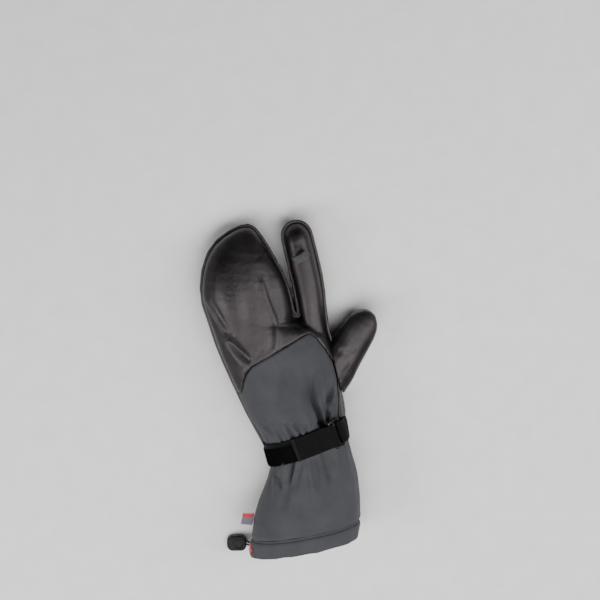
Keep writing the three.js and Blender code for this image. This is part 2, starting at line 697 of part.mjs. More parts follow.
// Arrow-shaped label round the hem's edge, pointing towards the back of the hand.
function arrowLabel() {
  const { length, head, width, shaft, thickness } = arrow;
  const start = overHem(arrow.angle);
  const headStops = [0.05, 1 / 3, 2 / 3, 1].map((share) => ({
    from: head * share, half: (width / 2) * share,
  }));
  const shaftStops = Array.from({ length: 6 }, (_, i) => ({
    from: THREE.MathUtils.lerp(head + gap, length, i / 5), half: shaft / 2,
  }));
  const across = [-1, -0.5, 0, 0.5, 1];
  return skin([...headStops, ...shaftStops].map(({ from, half }) => [
    ...across.map((share) => onHem(start + from, gap + thickness, share * half)),
    ...across.toReversed().map((share) => onHem(start + from, gap, share * half)),
  ]));
}

// A folded tag sewn into the side of the cuff. It sticks out level with the side's middle.
function sideTag() {
  const [a, b] = [tag.near, tag.far].map((along) => sectionPoint(hand.read(along), Math.PI, gap));
  const outline = new THREE.Shape([
    new THREE.Vector2(a.x - tag.out, a.y + tag.lean),
    new THREE.Vector2(b.x - tag.out, b.y - tag.lean),
    new THREE.Vector2(b.x, b.y),
    new THREE.Vector2(a.x, a.y),
  ]);
  return solidOf(new THREE.ExtrudeGeometry(outline, { depth: tag.thickness, bevelEnabled: false })
    .translate(0, 0, (a.z + b.z - tag.thickness) / 2));
}

// A mesh for one solid, in the colour of its material.
function piece(name, solid, material) {
  const data = solid.getMesh();
  const geometry = new THREE.BufferGeometry();
  const positions = new Float32Array(data.numVert * 3);
  for (let i = 0; i < data.numVert; i++)
    positions.set(data.vertProperties.subarray(i * data.numProp, i * data.numProp + 3), i * 3);
  geometry.setAttribute("position", new THREE.BufferAttribute(positions, 3));
  geometry.setIndex(new THREE.BufferAttribute(new Uint32Array(data.triVerts), 1));
  geometry.computeVertexNormals();
  const mesh = new THREE.Mesh(geometry, material);
  mesh.name = name;
  return mesh;
}

const finish = (color, roughness, metalness = 0) =>
  new THREE.MeshStandardMaterial({ color, roughness, metalness });
const blackLeather = finish(0x211e1d, 0.42);
const greyFabric = finish(0x54575b, 0.85);
const blackWebbing = finish(0x18181a, 0.8);
const greyWebbing = finish(0x5d5f63, 0.85);
const darkMetal = finish(0x3a3b3e, 0.3, 1);
const brightMetal = finish(0xb9babd, 0.25, 1);
const darkPlastic = finish(0x3c3d3f, 0.5);
const redLabel = finish(0xc8323c, 0.6);
const paleTag = finish(0x8d8595, 0.7);

const mitten = new THREE.Group();
mitten.add(
  piece("back_leather", backLeather(), blackLeather),
  piece("palm_leather", palmLeather(), blackLeather),
  piece("thumb_leather", thumbLeather(), blackLeather),
  piece("outseam_welt", outseamWelt(), blackLeather),
  piece("softshell_gauntlet", gauntlet(), greyFabric),
  piece("hem_channel", hemChannel(), greyFabric),
  piece("strap_loop_webbing", strapLoopWebbing(), blackWebbing),
  piece("strap_tab", strapTab(), blackWebbing),
  piece("strap_anchor", strapAnchor(), blackWebbing),
  piece("strap_ring", strapRing(), darkMetal),
  piece("hang_loop", hangLoopSolid(), greyWebbing),
  piece("cord_lock_body", cordLockBody(), darkPlastic),
  piece("cord_lock_button", cordLockButton(), darkPlastic),
  piece("draw_cord_front", drawCord(1), blackWebbing),
  piece("draw_cord_rear", drawCord(-1), blackWebbing),
  piece("cord_eyelet", cordEyelet(), brightMetal),
  piece("arrow_label", arrowLabel(), redLabel),
  piece("side_tag", sideTag(), paleTag),
);

// The tables are drawn from the middle of the palm, and the origin goes under the middle of it all.
const bounds = new THREE.Box3().setFromObject(mitten);
const middle = bounds.getCenter(new THREE.Vector3());
mitten.position.set(-middle.x, -middle.y, -bounds.min.z);

export default mitten;
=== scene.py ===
import math

import bmesh
import bpy
import numpy as np
from mathutils import Matrix, Vector, kdtree, noise
from mathutils.bvhtree import BVHTree


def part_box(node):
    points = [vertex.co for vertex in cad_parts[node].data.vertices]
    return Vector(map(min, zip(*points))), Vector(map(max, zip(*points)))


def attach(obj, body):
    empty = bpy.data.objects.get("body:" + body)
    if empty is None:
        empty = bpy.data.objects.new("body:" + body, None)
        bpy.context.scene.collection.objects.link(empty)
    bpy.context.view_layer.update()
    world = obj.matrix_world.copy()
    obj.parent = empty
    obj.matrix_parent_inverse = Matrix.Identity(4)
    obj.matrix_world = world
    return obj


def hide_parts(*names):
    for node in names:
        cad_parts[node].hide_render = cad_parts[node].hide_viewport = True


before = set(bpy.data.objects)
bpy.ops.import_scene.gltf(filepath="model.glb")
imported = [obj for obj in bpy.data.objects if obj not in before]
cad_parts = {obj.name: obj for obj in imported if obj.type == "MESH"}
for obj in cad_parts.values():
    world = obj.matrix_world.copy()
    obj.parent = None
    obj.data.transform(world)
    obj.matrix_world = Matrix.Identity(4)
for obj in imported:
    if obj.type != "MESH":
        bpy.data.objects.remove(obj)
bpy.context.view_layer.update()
scene = bpy.context.scene
mm = 0.001
weld = 0.01 * mm    # points of a CAD mesh closer than this are one
print("mitten: frame loaded")


# Camera above the back of the hand, leaning towards the fingertips
cameraSetup = {"lean": 14.5, "aim": (0.012, 0.0974, 0.030), "distance": 20.0, "across": 0.630}


def makeCamera():
    lean = math.radians(cameraSetup["lean"])
    back = Vector((0, math.sin(lean), math.cos(lean)))
    data = bpy.data.cameras.new("camera")
    data.lens = data.sensor_width * cameraSetup["distance"] / cameraSetup["across"]
    data.clip_start = 0.05
    camera = linked("camera", data)
    camera.location = Vector(cameraSetup["aim"]) + back * cameraSetup["distance"]
    camera.rotation_euler = (-lean, 0, 0)
    scene.camera = camera


stageSetup = {"floor": (0.93, 0.93, 0.92), "floorRough": 0.8, "sky": (0.93, 0.95, 1.0, 1), "skyPower": 0.04}
lightSetup = [
    {"name": "broadOverhead", "at": (0.22, -0.35, 1.49), "size": (2.9, 1.0), "power": 36},
    {"name": "leftKey", "at": (-1.15, -0.45, 0.95), "size": (0.7, 0.7), "power": 10.5},
    {"name": "rightFill", "at": (1.5, 0.2, 1.1), "size": (0.9, 0.9), "power": 11.5},
]


def makeStage():
    bpy.ops.mesh.primitive_plane_add(size=8, location=(0, 0, 0))
    floor = bpy.context.object
    floor.name = "floor"
    floor.data.materials.append(plainMaterial("paleFloor", stageSetup["floor"], stageSetup["floorRough"]))
    for row in lightSetup:
        data = bpy.data.lights.new(row["name"], "AREA")
        data.shape = "ELLIPSE"
        data.size, data.size_y = row["size"]
        data.energy = row["power"]
        light = linked(row["name"], data)
        light.location = row["at"]
        light.rotation_euler = (-Vector(row["at"])).to_track_quat("-Z", "Y").to_euler()
    world = bpy.data.worlds.new("studio")
    world.use_nodes = True
    feed(world.node_tree, world.node_tree.nodes["Background"],
         {"Color": stageSetup["sky"], "Strength": stageSetup["skyPower"]})
    scene.world = world


# Small tools for meshes
def pick(piece):
    bpy.ops.object.select_all(action="DESELECT")
    piece.select_set(True)
    bpy.context.view_layer.objects.active = piece


# Adds a modifier with its settings, and applies it
def changed(piece, kind, **settings):
    change = piece.modifiers.new("change", kind)
    for key, value in settings.items():
        setattr(change, key, value)
    pick(piece)
    bpy.ops.object.modifier_apply(modifier=change.name)
    return piece


def linked(name, data):
    piece = bpy.data.objects.new(name, data)
    scene.collection.objects.link(piece)
    return piece


# Names the primitive that was just made, and puts it in its place
def placed(name, place):
    piece = bpy.context.object
    piece.name = name
    piece.data.transform(place)
    return piece


# Runs one operator on all of a piece in edit mode
def inEditMode(piece, operator, **settings):
    pick(piece)
    bpy.ops.object.mode_set(mode="EDIT")
    bpy.ops.mesh.select_all(action="SELECT")
    operator(**settings)
    bpy.ops.object.mode_set(mode="OBJECT")


def copyOf(node, name):
    piece = linked(name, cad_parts[node].data.copy())
    piece.data.materials.clear()
    inEditMode(piece, bpy.ops.mesh.remove_doubles, threshold=weld)
    return piece


def builtFrom(node):
    build = bmesh.new()
    build.from_mesh(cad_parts[node].data)
    bmesh.ops.remove_doubles(build, verts=build.verts, dist=weld)
    build.normal_update()
    return build


def smoothShaded(piece):
    piece.data.polygons.foreach_set("use_smooth", [True] * len(piece.data.polygons))


def meshFrom(name, points, faces):
    mesh = bpy.data.meshes.new(name)
    mesh.from_pydata([tuple(p) for p in points], [], faces)
    mesh.update()
    piece = linked(name, mesh)
    smoothShaded(piece)
    return piece


def pointsOf(piece):
    found = np.zeros(len(piece.data.vertices) * 3)
    piece.data.vertices.foreach_get("co", found)
    return found.reshape(-1, 3)


def setPoints(piece, points):
    piece.data.vertices.foreach_set("co", np.asarray(points).ravel())
    piece.data.update()


def normalsOf(piece):
    found = np.zeros(len(piece.data.vertices) * 3, np.float32)
    piece.data.vertex_normals.foreach_get("vector", found)
    return found.reshape(-1, 3).astype(float)


def neighbourMean(piece, points):
    count = len(points)
    edges = np.zeros(len(piece.data.edges) * 2, np.int64)
    piece.data.edges.foreach_get("vertices", edges)
    a, b = edges[0::2], edges[1::2]
    meeting = np.bincount(a, minlength=count) + np.bincount(b, minlength=count)
    total = [
        np.bincount(a, points[b, axis], count) + np.bincount(b, points[a, axis], count)
        for axis in range(3)
    ]
    return np.stack(total, 1) / np.maximum(meeting, 1)[:, None]


# Moves each point towards the mean of its neighbours, by each share in turn
def relax(piece, rounds, shares=(0.5,)):
    points = pointsOf(piece)
    for share in shares * rounds:
        points += share * (neighbourMean(piece, points) - points)
    setPoints(piece, points)


def store(piece, name, values):
    values = np.asarray(values, np.float32)
    kind = "FLOAT_VECTOR" if values.ndim == 2 else "FLOAT"
    made = piece.data.attributes.new(name, kind, "POINT")
    made.data.foreach_set("vector" if values.ndim == 2 else "value", values.ravel())


def skinTree(piece):
    return BVHTree.FromPolygons(
        [v.co.copy() for v in piece.data.vertices], [list(p.vertices) for p in piece.data.polygons]
    )


def roughly(points, size, seed):
    # Smooth noise from -1 to 1. size holds its width along each axis in mm.
    moved = points / np.asarray(size) + seed * 7.31
    return np.array([noise.noise(p) for p in moved.tolist()])


def creased(points, size, seed):
    # Noise with sharp valleys at 0 and rounded tops at 1
    return np.minimum(np.abs(roughly(points, size, seed)) * 2.4, 1)


def bell(distance, width):
    return np.exp(-((distance / width) ** 2))


def ease(value, low, high):
    share = np.clip((value - low) / (high - low), 0, 1)
    return share * share * (3 - 2 * share)


def dots(one, other):
    return (one * other).sum(1)


def unit(rows):
    return rows / np.linalg.norm(rows, axis=1)[:, None]


# Curves that seams, stitches and folds follow
def reachOf(path):
    # The way from a path's start to each of its points
    return np.concatenate([[0], np.cumsum(np.linalg.norm(np.diff(path, axis=0), axis=1))])


def evenly(path, step):
    path = np.asarray(path, float)
    reach = reachOf(path)
    count = max(int(round(reach[-1] / step)), 2)
    stops = np.linspace(0, reach[-1], count + 1)
    return np.stack([np.interp(stops, reach, path[:, axis]) for axis in range(3)], 1)


def softened(path, rounds, closed=False):
    path = np.array(path)
    for _ in range(rounds):
        mean = (np.roll(path, 1, 0) + np.roll(path, -1, 0)) / 2
        if not closed:
            mean[0], mean[-1] = path[0], path[-1]
        path += 0.5 * (mean - path)
    return path


def alongs(path):
    return unit(np.gradient(path, axis=0))


def pointTree(points):
    tree = kdtree.KDTree(len(points))
    for i, p in enumerate(points):
        tree.insert(p, i)
    tree.balance()
    return tree


def farFrom(path, points):
    # Each point's distance from a path, and the path's nearest station
    tree = pointTree(path)
    found = [tree.find(p)[1:] for p in points.tolist()]
    return np.array([f[1] for f in found]), np.array([f[0] for f in found])


# The longest chain of a CAD node's sharp edges. keep(middles, normals, normals) says which count.
def sharpChain(node, keep, angle=40):
    build = builtFrom(node)
    least = math.radians(angle)
    edges = [e for e in build.edges if len(e.link_faces) == 2 and e.calc_face_angle() > least]
    middles = np.array([(e.verts[0].co + e.verts[1].co) / 2 for e in edges])
    sides = [np.array([e.link_faces[i].normal for e in edges]) for i in (0, 1)]
    at = {}
    for edge, kept in zip(edges, keep(middles, *sides)):
        for v in edge.verts if kept else ():
            at.setdefault(v, []).append(edge)
    used, runs = set(), []
    ends = [v for v in at if len(at[v]) == 1] + list(at)
    for start in ends:
        run, v = [start.co.copy()], start
        while True:
            free = [e for e in at[v] if e not in used]
            if not free:
                break
            used.add(free[0])
            v = free[0].other_vert(v)
            run.append(v.co.copy())
        if len(run) > 2:
            runs.append(np.array(run))
    build.free()
    return max(runs, key=lambda run: reachOf(run)[-1])


# A skin over a profile of (out, up) points that is carried along a path
def swept(name, path, outward, profile, closed=False):
    ahead = alongs(path)
    out = unit(outward - dots(outward, ahead)[:, None] * ahead)
    up = np.cross(ahead, out)
    rows = np.array(profile)
    count = len(rows)
    points = path[:, None] + out[:, None] * rows[None, :, :1] + up[:, None] * rows[None, :, 1:]
    faces = []
    turns = len(path) if closed else len(path) - 1
    for i in range(turns):
        for j in range(count):
            k, following = (j + 1) % count, (i + 1) % len(path)
            faces.append((i * count + j, i * count + k, following * count + k, following * count + j))
    if not closed:
        faces.append(tuple(reversed(range(count))))
        faces.append(tuple((len(path) - 1) * count + j for j in range(count)))
    piece = meshFrom(name, points.reshape(-1, 3), faces)
    inEditMode(piece, bpy.ops.mesh.normals_make_consistent, inside=False)
    return piece


def roundProfile(radius, sides=10):
    turns = [2 * math.pi * i / sides for i in range(sides)]
    return [(radius * math.cos(t), radius * math.sin(t)) for t in turns]


# One stitch: a short sunk capsule, drawn along X with Z up
def stitchModel(length, thickness):
    bpy.ops.mesh.primitive_uv_sphere_add(segments=8, ring_count=6, radius=0.5)
    model = bpy.context.object
    points = pointsOf(model) * [length, thickness, thickness]
    faces = [tuple(p.vertices) for p in model.data.polygons]
    bpy.data.objects.remove(model)
    points[:, 2] -= 0.25 * thickness * np.abs(points[:, 0] / (length / 2)) ** 2
    return points, faces


# One mesh with a copy of a model at each (position, along, up)
def repeated(name, model, places):
    base, faces = model
    points, allFaces = [], []
    for position, along, up in places:
        side = np.cross(up, along)
        side /= np.linalg.norm(side)
        lift = np.cross(along, side)
        turned = base[:, :1] * along + base[:, 1:2] * side + base[:, 2:] * lift
        allFaces += [tuple(len(points) * len(base) + i for i in f) for f in faces]
        points.append(turned + position)
    return meshFrom(name, np.concatenate(points), allFaces)


# A row of stitches pressed into a surface along a path
def stitched(name, path, tree, look, closed=False):
    stops = evenly(path, look["pitch"])
    if closed:
        stops = stops[:-1]
    middle, up = (np.array(part) for part in zip(*(tree.find_nearest(Vector(p))[:2] for p in stops)))
    model = stitchModel(look["length"], look["thread"])
    slant = math.radians(look["slant"])
    ahead = math.cos(slant) * alongs(middle) + math.sin(slant) * np.cross(up, alongs(middle))
    lifted = middle + up * look["lift"]
    lifted[:, 2] = np.maximum(lifted[:, 2], look["thread"] / 2)
    piece = repeated(name, model, list(zip(lifted, ahead, up)))
    points = pointsOf(piece)
    points[:, 2] = np.maximum(points[:, 2], 0)    # none sinks into what the mitten lies on
    setPoints(piece, points)
    return piece


def finishPiece(piece, material, replaced=(), body="mitten"):
    piece.data.materials.append(material)
    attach(piece, body)
    if replaced:
        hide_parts(*replaced)
    return piece


# Shader helpers
def feed(tree, node, feeds):
    for socket, source in feeds.items():
        if isinstance(source, bpy.types.NodeSocket):
            tree.links.new(source, node.inputs[socket])
        else:
            node.inputs[socket].default_value = source


def put(tree, kind, feeds=None, **settings):
    made = tree.nodes.new(kind)
    for key, value in settings.items():
        setattr(made, key, value)
    feed(tree, made, feeds or {})
    return made


def maths(tree, operation, a, b=0.5):
    return put(tree, "ShaderNodeMath", {0: a, 1: b}, operation=operation).outputs[0]


def times(tree, a, b):
    return maths(tree, "MULTIPLY", a, b)


def plus(tree, total, *others):
    for value in others:
        total = maths(tree, "ADD", total, value)
    return total


def mixed(tree, share, a, b):
    a, b = ((*c, 1) if isinstance(c, tuple) else c for c in (a, b))
    return put(tree, "ShaderNodeMix", {"Factor": share, 6: a, 7: b}, data_type="RGBA").outputs[2]


def noisy(tree, place, scale, detail=3.0, output="Fac", **more):
    feeds = {"Vector": place, "Scale": scale, "Detail": detail, **more}
    return put(tree, "ShaderNodeTexNoise", feeds).outputs[output]


def remapped(tree, value, low, high, start=0.0, end=1.0):
    feeds = {0: value, 1: low, 2: high, 3: start, 4: end}
    return put(tree, "ShaderNodeMapRange", feeds).outputs[0]


# A node group. inputs and outputs give the names of the sockets of each kind.
def shaderGroup(name, inputs, outputs):
    group = bpy.data.node_groups.new(name, "ShaderNodeTree")
    for side, kinds in (("INPUT", inputs), ("OUTPUT", outputs)):
        for kind, labels in kinds.items():
            for label in labels:
                group.interface.new_socket(label, in_out=side, socket_type="NodeSocket" + kind)
    return group, put(group, "NodeGroupInput").outputs, put(group, "NodeGroupOutput").inputs


# Leather: small rounded cells, fine pores, broad tone changes, and paler edges, from edge wear on the shells
# and, on the welt's piping, a painted highlight line
def makeGrainGroup():
    group, given, result = shaderGroup(
        "leatherGrain",
        {"Vector": ["Vector"], "Float": ["Cells", "WornAndSheen", "Rough"], "Color": ["Dark", "Pale"]},
        {"Color": ["Color"], "Float": ["Rough", "Height"]},
    )
    flat = given["Vector"]
    bend = noisy(group, flat, 90.0, output="Color")
    shifted = put(group, "ShaderNodeVectorMath", {0: bend, 1: (0.004,) * 3}, operation="MULTIPLY")
    place = put(group, "ShaderNodeVectorMath", {0: flat, 1: shifted.outputs[0]}, operation="ADD")
    cells = put(group, "ShaderNodeTexVoronoi",
                {"Vector": place.outputs[0], "Scale": given["Cells"], "Smoothness": 0.4}, feature="SMOOTH_F1")
    pores, broad = noisy(group, flat, 1900.0, 4.0), noisy(group, flat, 34.0, 4.0)
    lines = noisy(group, flat, 210.0, 5.0, Distortion=0.7)
    furrow = remapped(group, maths(group, "ABSOLUTE", maths(group, "SUBTRACT", lines, 0.5)), 0.0, 0.05)
    height = plus(group, times(group, cells.outputs["Distance"], -0.55), times(group, pores, 0.35),
                  times(group, furrow, 0.35))
    tone = plus(group, times(group, remapped(group, broad, 0.3, 0.7), 0.75), times(group, pores, 0.25))
    colour = mixed(group, tone, given["Dark"], given["Pale"])
    wornAndSheen = times(group, given["WornAndSheen"], remapped(group, broad, 0.35, 0.6, 0.35, 1.0))
    colour = mixed(group, times(group, wornAndSheen, 0.5), colour, (0.075, 0.066, 0.060))
    rough = plus(group, given["Rough"], remapped(group, pores, 0.3, 0.7, -0.05, 0.05),
                 remapped(group, broad, 0.3, 0.7, -0.08, 0.09), times(group, wornAndSheen, 0.08))
    for label, value in (("Color", colour), ("Rough", rough), ("Height", height)):
        group.links.new(value, result[label])
    return group


# Crossing threads, in mm over a cloth's own surface. Warp and weft pass over each other.
def makeWeaveGroup():
    group, given, result = shaderGroup(
        "threadWeave",
        {"Vector": ["Vector"], "Float": ["Across", "Along", "Fleck"], "Color": ["Dark", "Pale"]},
        {"Color": ["Color"], "Float": ["Height"]},
    )
    parts = put(group, "ShaderNodeSeparateXYZ", {"Vector": given["Vector"]}).outputs
    warp, weft = (maths(group, "SINE", times(group, parts[axis], times(group, given[count], 2 * math.pi)))
                  for axis, count in (("X", "Across"), ("Y", "Along")))
    rise = remapped(group, times(group, warp, weft), -1.0, 1.0)
    fleck, broad = noisy(group, given["Vector"], 1.7), noisy(group, given["Vector"], 0.045)
    tone = plus(group, times(group, rise, maths(group, "SUBTRACT", 1.0, given["Fleck"])),
                times(group, fleck, given["Fleck"]), remapped(group, broad, 0.3, 0.7, -0.18, 0.18))
    group.links.new(mixed(group, tone, given["Dark"], given["Pale"]), result["Color"])
    group.links.new(plus(group, rise, times(group, fleck, 0.5)), result["Height"])
    return group


def startMaterial(name):
    made = bpy.data.materials.new(name)
    made.use_nodes = True
    return made, made.node_tree


# Feeds a material's shader, with a bump of this height, strength and distance
def shaded(tree, height, strength, distance, feeds):
    bump = put(tree, "ShaderNodeBump", {"Height": height, "Strength": strength, "Distance": distance})
    feed(tree, tree.nodes["Principled BSDF"], {"Normal": bump.outputs["Normal"], **feeds})


def plainMaterial(name, colour, rough, shine=0.5):
    made, tree = startMaterial(name)
    place = put(tree, "ShaderNodeTexCoord").outputs["Object"]
    speckle, broad = noisy(tree, place, 900.0), noisy(tree, place, 45.0)
    shaded(tree, speckle, 0.25, 0.00004, {
        "Base Color": mixed(tree, broad, colour, tuple(0.86 * c for c in colour)),
        "Roughness": remapped(tree, speckle, 0.3, 0.7, rough - 0.05, rough + 0.05),
        "Specular IOR Level": shine,
    })
    return made


def leatherMaterial(name, look):
    made, tree = startMaterial(name)
    grain = put(tree, "ShaderNodeGroup", {
        "Vector": put(tree, "ShaderNodeTexCoord").outputs["Object"],
        "WornAndSheen": put(tree, "ShaderNodeAttribute", attribute_name="wornAndSheen").outputs["Fac"],
        "Cells": look["cells"], "Rough": look["rough"],
        "Dark": (*look["dark"], 1), "Pale": (*look["pale"], 1),
    }, node_tree=groups["leather"]).outputs
    shaded(tree, grain["Height"], look["bump"], look["deep"], {
        "Base Color": grain["Color"], "Roughness": grain["Rough"], "Specular IOR Level": look["shine"],
        "Specular Tint": (*look["tint"], 1), "Coat Weight": look["coat"], "Coat Roughness": look["coatRough"],
    })
    return made


def clothMaterial(name, look):
    made, tree = startMaterial(name)
    weave = put(tree, "ShaderNodeGroup", {
        "Vector": put(tree, "ShaderNodeAttribute", attribute_name="cloth").outputs["Vector"],
        "Across": look["across"], "Along": look["along"], "Fleck": look["fleck"],
        "Dark": (*look["dark"], 1), "Pale": (*look["pale"], 1),
    }, node_tree=groups["weave"]).outputs
    shaded(tree, weave["Height"], look["bump"], look["deep"], {
        "Base Color": weave["Color"], "Roughness": look["rough"], "Specular IOR Level": look["shine"],
        "Sheen Weight": look["sheen"],
    })
    return made


def banded(material, bands, axis="Y"):
    # Woven bands across one cloth axis in mm: (low, high, colour)
    tree = material.node_tree
    shader = tree.nodes["Principled BSDF"]
    ground = shader.inputs["Base Color"].links[0].from_socket
    place = put(tree, "ShaderNodeAttribute", attribute_name="cloth").outputs["Vector"]
    value = put(tree, "ShaderNodeSeparateXYZ", {"Vector": place}).outputs[axis]
    for low, high, colour in bands:
        share = times(tree, remapped(tree, value, low - 0.1, low + 0.1),
                      remapped(tree, value, high - 0.1, high + 0.1, 1.0, 0.0))
        ground = mixed(tree, share, ground, colour)
    tree.links.new(ground, shader.inputs["Base Color"])
    return material


# Middle lines of the hand and its three limbs in mm, and each one's half width and half height
limbs = [
    {"half": (50, 34), "line": [(17, -173, 36), (20, -123, 36), (21, -55, 35), (1, 7, 31), (-18, 57, 29)]},
    {"half": (40, 31), "line": [(-18, 57, 29), (-45, 100, 27), (-49.5, 135, 25), (-46, 165, 22)]},
    {"half": (14, 20), "line": [(27.5, 40, 24), (25, 79, 22), (21, 109, 20), (10.5, 157, 18.5),
                                (5.5, 179, 18)]},
    {"half": (18, 20), "line": [(35, 0, 20), (56, 34, 20), (78, 71, 19), (86, 84, 18)]},
]
indexFinger = 2


def limbLine(limb, step=3):
    return evenly(np.array(limb["line"]) * mm, step * mm)


def outwardFrom(points):
    # Unit directions away from the nearest limb's middle line
    best, way = np.full(len(points), 1e9), np.zeros((len(points), 3))
    for limb in limbs:
        line = limbLine(limb)
        _, nearest = farFrom(line, points)
        off = points - line[nearest]
        wide, high = limb["half"]
        sized = np.hypot(np.hypot(off[:, 0], off[:, 1]) / wide, off[:, 2] / high)
        closer = sized < best
        best[closer], way[closer] = sized[closer], off[closer]
    return way / np.maximum(np.linalg.norm(way, axis=1), 1e-6)[:, None]


# Taubin's two shares: the facets go, and size and rims stay
evenShares = (0.55, -0.57)


# An even mesh of the CAD form, with its facets smoothed away
def evenMesh(piece, voxel, rounds, relaxed):
    changed(piece, "REMESH", mode="VOXEL", voxel_size=voxel)
    relax(piece, rounds, evenShares)
    relax(piece, relaxed)


def meanOf(piece, values, rounds):
    values = np.repeat(np.asarray(values, float)[:, None], 3, 1)
    for _ in range(rounds):
        values = neighbourMean(piece, values)
    return values[:, 0]


def downOn(piece, path):
    # Drops a path of x, y in mm on the upper side of a piece
    tree = skinTree(piece)
    found = []
    for x, y in path:
        hit = tree.ray_cast(Vector((x * mm, y * mm, 0.2)), Vector((0, 0, -1)))[0]
        if hit:
            found.append(hit)
    return evenly(softened(evenly(np.array(found), 2 * mm), 6), 1.5 * mm) if len(found) > 1 else None


# One fold: a valley with a swell on either side. Both fade towards the fold's ends. Its path as
# x, y, its width and its depth are in mm, and a depth below 0 makes a ridge. One side is narrow where
# steep is 1 or -1, and late takes the greatest depth to the path's end.
def foldRise(piece, points, path, width, depth, swell=0.55, steep=0, late=0):
    path = downOn(piece, path)
    if path is None:
        return np.zeros(len(points))
    far, nearest = farFrom(path, points)
    share = nearest / max(len(path) - 1, 1)
    fade = np.sqrt(np.clip(4 * share * (1 - share), 0, 1)) * 0.85 + 0.15
    width *= mm
    if steep:
        ahead = alongs(path)[nearest]
        side = dots(points - path[nearest], np.stack([ahead[:, 1], -ahead[:, 0], 0 * far], 1))
        width = width * np.where(side * steep > 0, 0.3, 2.1)
    if steep or late:
        fade = ease(share, 0, 0.6) * (1 - ease(share, 0.92, 1))
    return depth * mm * fade * (swell * bell(far - 2.1 * width, 1.2 * width) - bell(far, width))


# A seam draws the surface in, with a swell beside it and puckers at its stitches
def seamRise(points, seam):
    path = evenly(seam["path"], 0.5 * mm)
    far, nearest = farFrom(path, points)
    far /= mm
    finger = farFrom(limbLine(limbs[indexFinger]), points)[0]
    swell = seam["swell"] * ease(finger / mm, 16, 30)    # the narrow index finger has none
    rise = swell * bell(far - seam["at"], seam["wide"]) - seam["ditch"] * bell(far, seam["width"])
    if "pucker" in seam:
        rise += seam["pucker"] * bell(far, seam["width"]) * np.cos(math.pi * nearest / seam["pitch"])
    return rise * mm


def convexity(piece, points):
    return meanOf(piece, dots(points - neighbourMean(piece, points), normalsOf(piece)), 3)


# What all soft shells share. Heights are in mm. A point counts as outer from the share shown up, and
# a face is lining under the share lined.
shellLook = {
    "foldsFrom": (22, 40), "restsTo": (0.3, 7), "wornAndSheen": (0.01, 0.09), "shown": 0.6, "lined": 0.1,
    "wallAngle": 38,
}


# The inner side of a wall follows the outer side, so that a fold never thins it
def followed(points, shift, outer):
    shown, hidden = (np.flatnonzero((outer > shellLook["shown"]) == side) for side in (True, False))
    tree = pointTree(points[shown])
    for i in hidden:
        shift[i] = np.mean([shift[shown[n[1]]] for n in tree.find_n(points[i], 3)], 0)
    return shift


# The outer and the inner side of a CAD shell, each as a tree of its faces
def wallSides(node):
    build = builtFrom(node)
    least = math.radians(shellLook["wallAngle"])
    left, sides = set(build.faces), {True: [], False: []}
    while left:
        region = [left.pop()]
        for face in region:
            for edge in face.edges:
                if len(edge.link_faces) == 2 and edge.calc_face_angle() < least:
                    found = [f for f in edge.link_faces if f in left]
                    left.difference_update(found)
                    region += found
        normals = np.array([f.normal * f.calc_area() for f in region])
        facing = (normals * outwardFrom(np.array([f.calc_center_median() for f in region]))).sum()
        sides[facing > 0] += [[v.co.copy() for v in f.verts] for f in region]
    build.free()
    trees = []
    for faces in (sides[True], sides[False]):
        starts = np.cumsum([0] + [len(f) for f in faces])
        corners = [list(range(a, b)) for a, b in zip(starts[:-1], starts[1:])]
        trees.append(BVHTree.FromPolygons([co for f in faces for co in f], corners))
    return trees


# The soft shells: even mesh over the CAD form, then folds on its outer side
def softShell(node, look):
    piece = copyOf(node, node + "Skin")
    voxel = look["voxel"] * mm * 1
    evenMesh(piece, voxel, look["rounds"], 3)
    points = pointsOf(piece)
    normals = normalsOf(piece)
    toOuter, toInner = ([tree.find_nearest(Vector(p))[3] / mm for p in points] for tree in wallSides(node))
    outer = meanOf(piece, ease(np.array(toInner) - np.array(toOuter), -0.5, 0.5), 2)
    rise = np.zeros(len(points))
    for size, height, seed, *sharp in look["waves"]:
        wave = creased(points / mm, size, seed) - 0.6 if sharp else roughly(points / mm, size, seed)
        rise += height * mm * wave
    upper = ease(points[:, 2] / mm, *shellLook["foldsFrom"])
    for fold in look["folds"]:
        rise += foldRise(piece, points, *fold) * upper
    for seam in look["seams"]:
        rise += seamRise(points, seam)
    if "extra" in look:
        rise += look["extra"](points)
    rise *= ease(points[:, 2] / mm, *shellLook["restsTo"])
    shift = followed(points, normals * rise[:, None], outer)
    points += shift
    points[:, 2] = np.maximum(points[:, 2], 0)
    setPoints(piece, points)
    relax(piece, 1)
    wornAndSheen = ease(convexity(piece, pointsOf(piece)) / voxel, *shellLook["wornAndSheen"]) * outer
    store(piece, "wornAndSheen", meanOf(piece, wornAndSheen, 1))
    store(piece, "cloth", clothPlace(pointsOf(piece)))
    smoothShaded(piece)
    finishPiece(piece, look["material"], (node,))
    piece.data.materials.append(look["inside"])
    corners = np.zeros(len(piece.data.loops), np.int64)
    piece.data.loops.foreach_get("vertex_index", corners)
    inward = outer[corners].reshape(-1, 4).mean(1) < shellLook["lined"]
    piece.data.polygons.foreach_set("material_index", inward.astype(np.int32))
    print("mitten:", piece.name, len(piece.data.polygons), "faces")
    return piece


# The way round an oval in mm at each of its turns
def ovalReach(half, high, turn):
    return reachOf(np.stack([half * np.cos(turn), high * np.sin(turn)], 1))


def flatPlace(across, along):
    return np.stack([across, along, np.zeros(len(across))], 1)


cuffOval = {"half": 54, "high": 36}


# Cloth coordinates in mm: round the cuff's oval, and along the hand
def clothPlace(points):
    line = limbLine(limbs[0], 1)
    off = (points - line[farFrom(line, points)[1]]) / mm
    turn = np.linspace(-math.pi, math.pi, 361)
    across = np.hypot(off[:, 0], off[:, 1]) * np.sign(off[:, 0])
    angle = np.arctan2(off[:, 2] / cuffOval["high"], -across / cuffOval["half"])
    around = np.interp(angle, turn, ovalReach(**cuffOval, turn=turn))
    return flatPlace(around, points[:, 1] / mm)


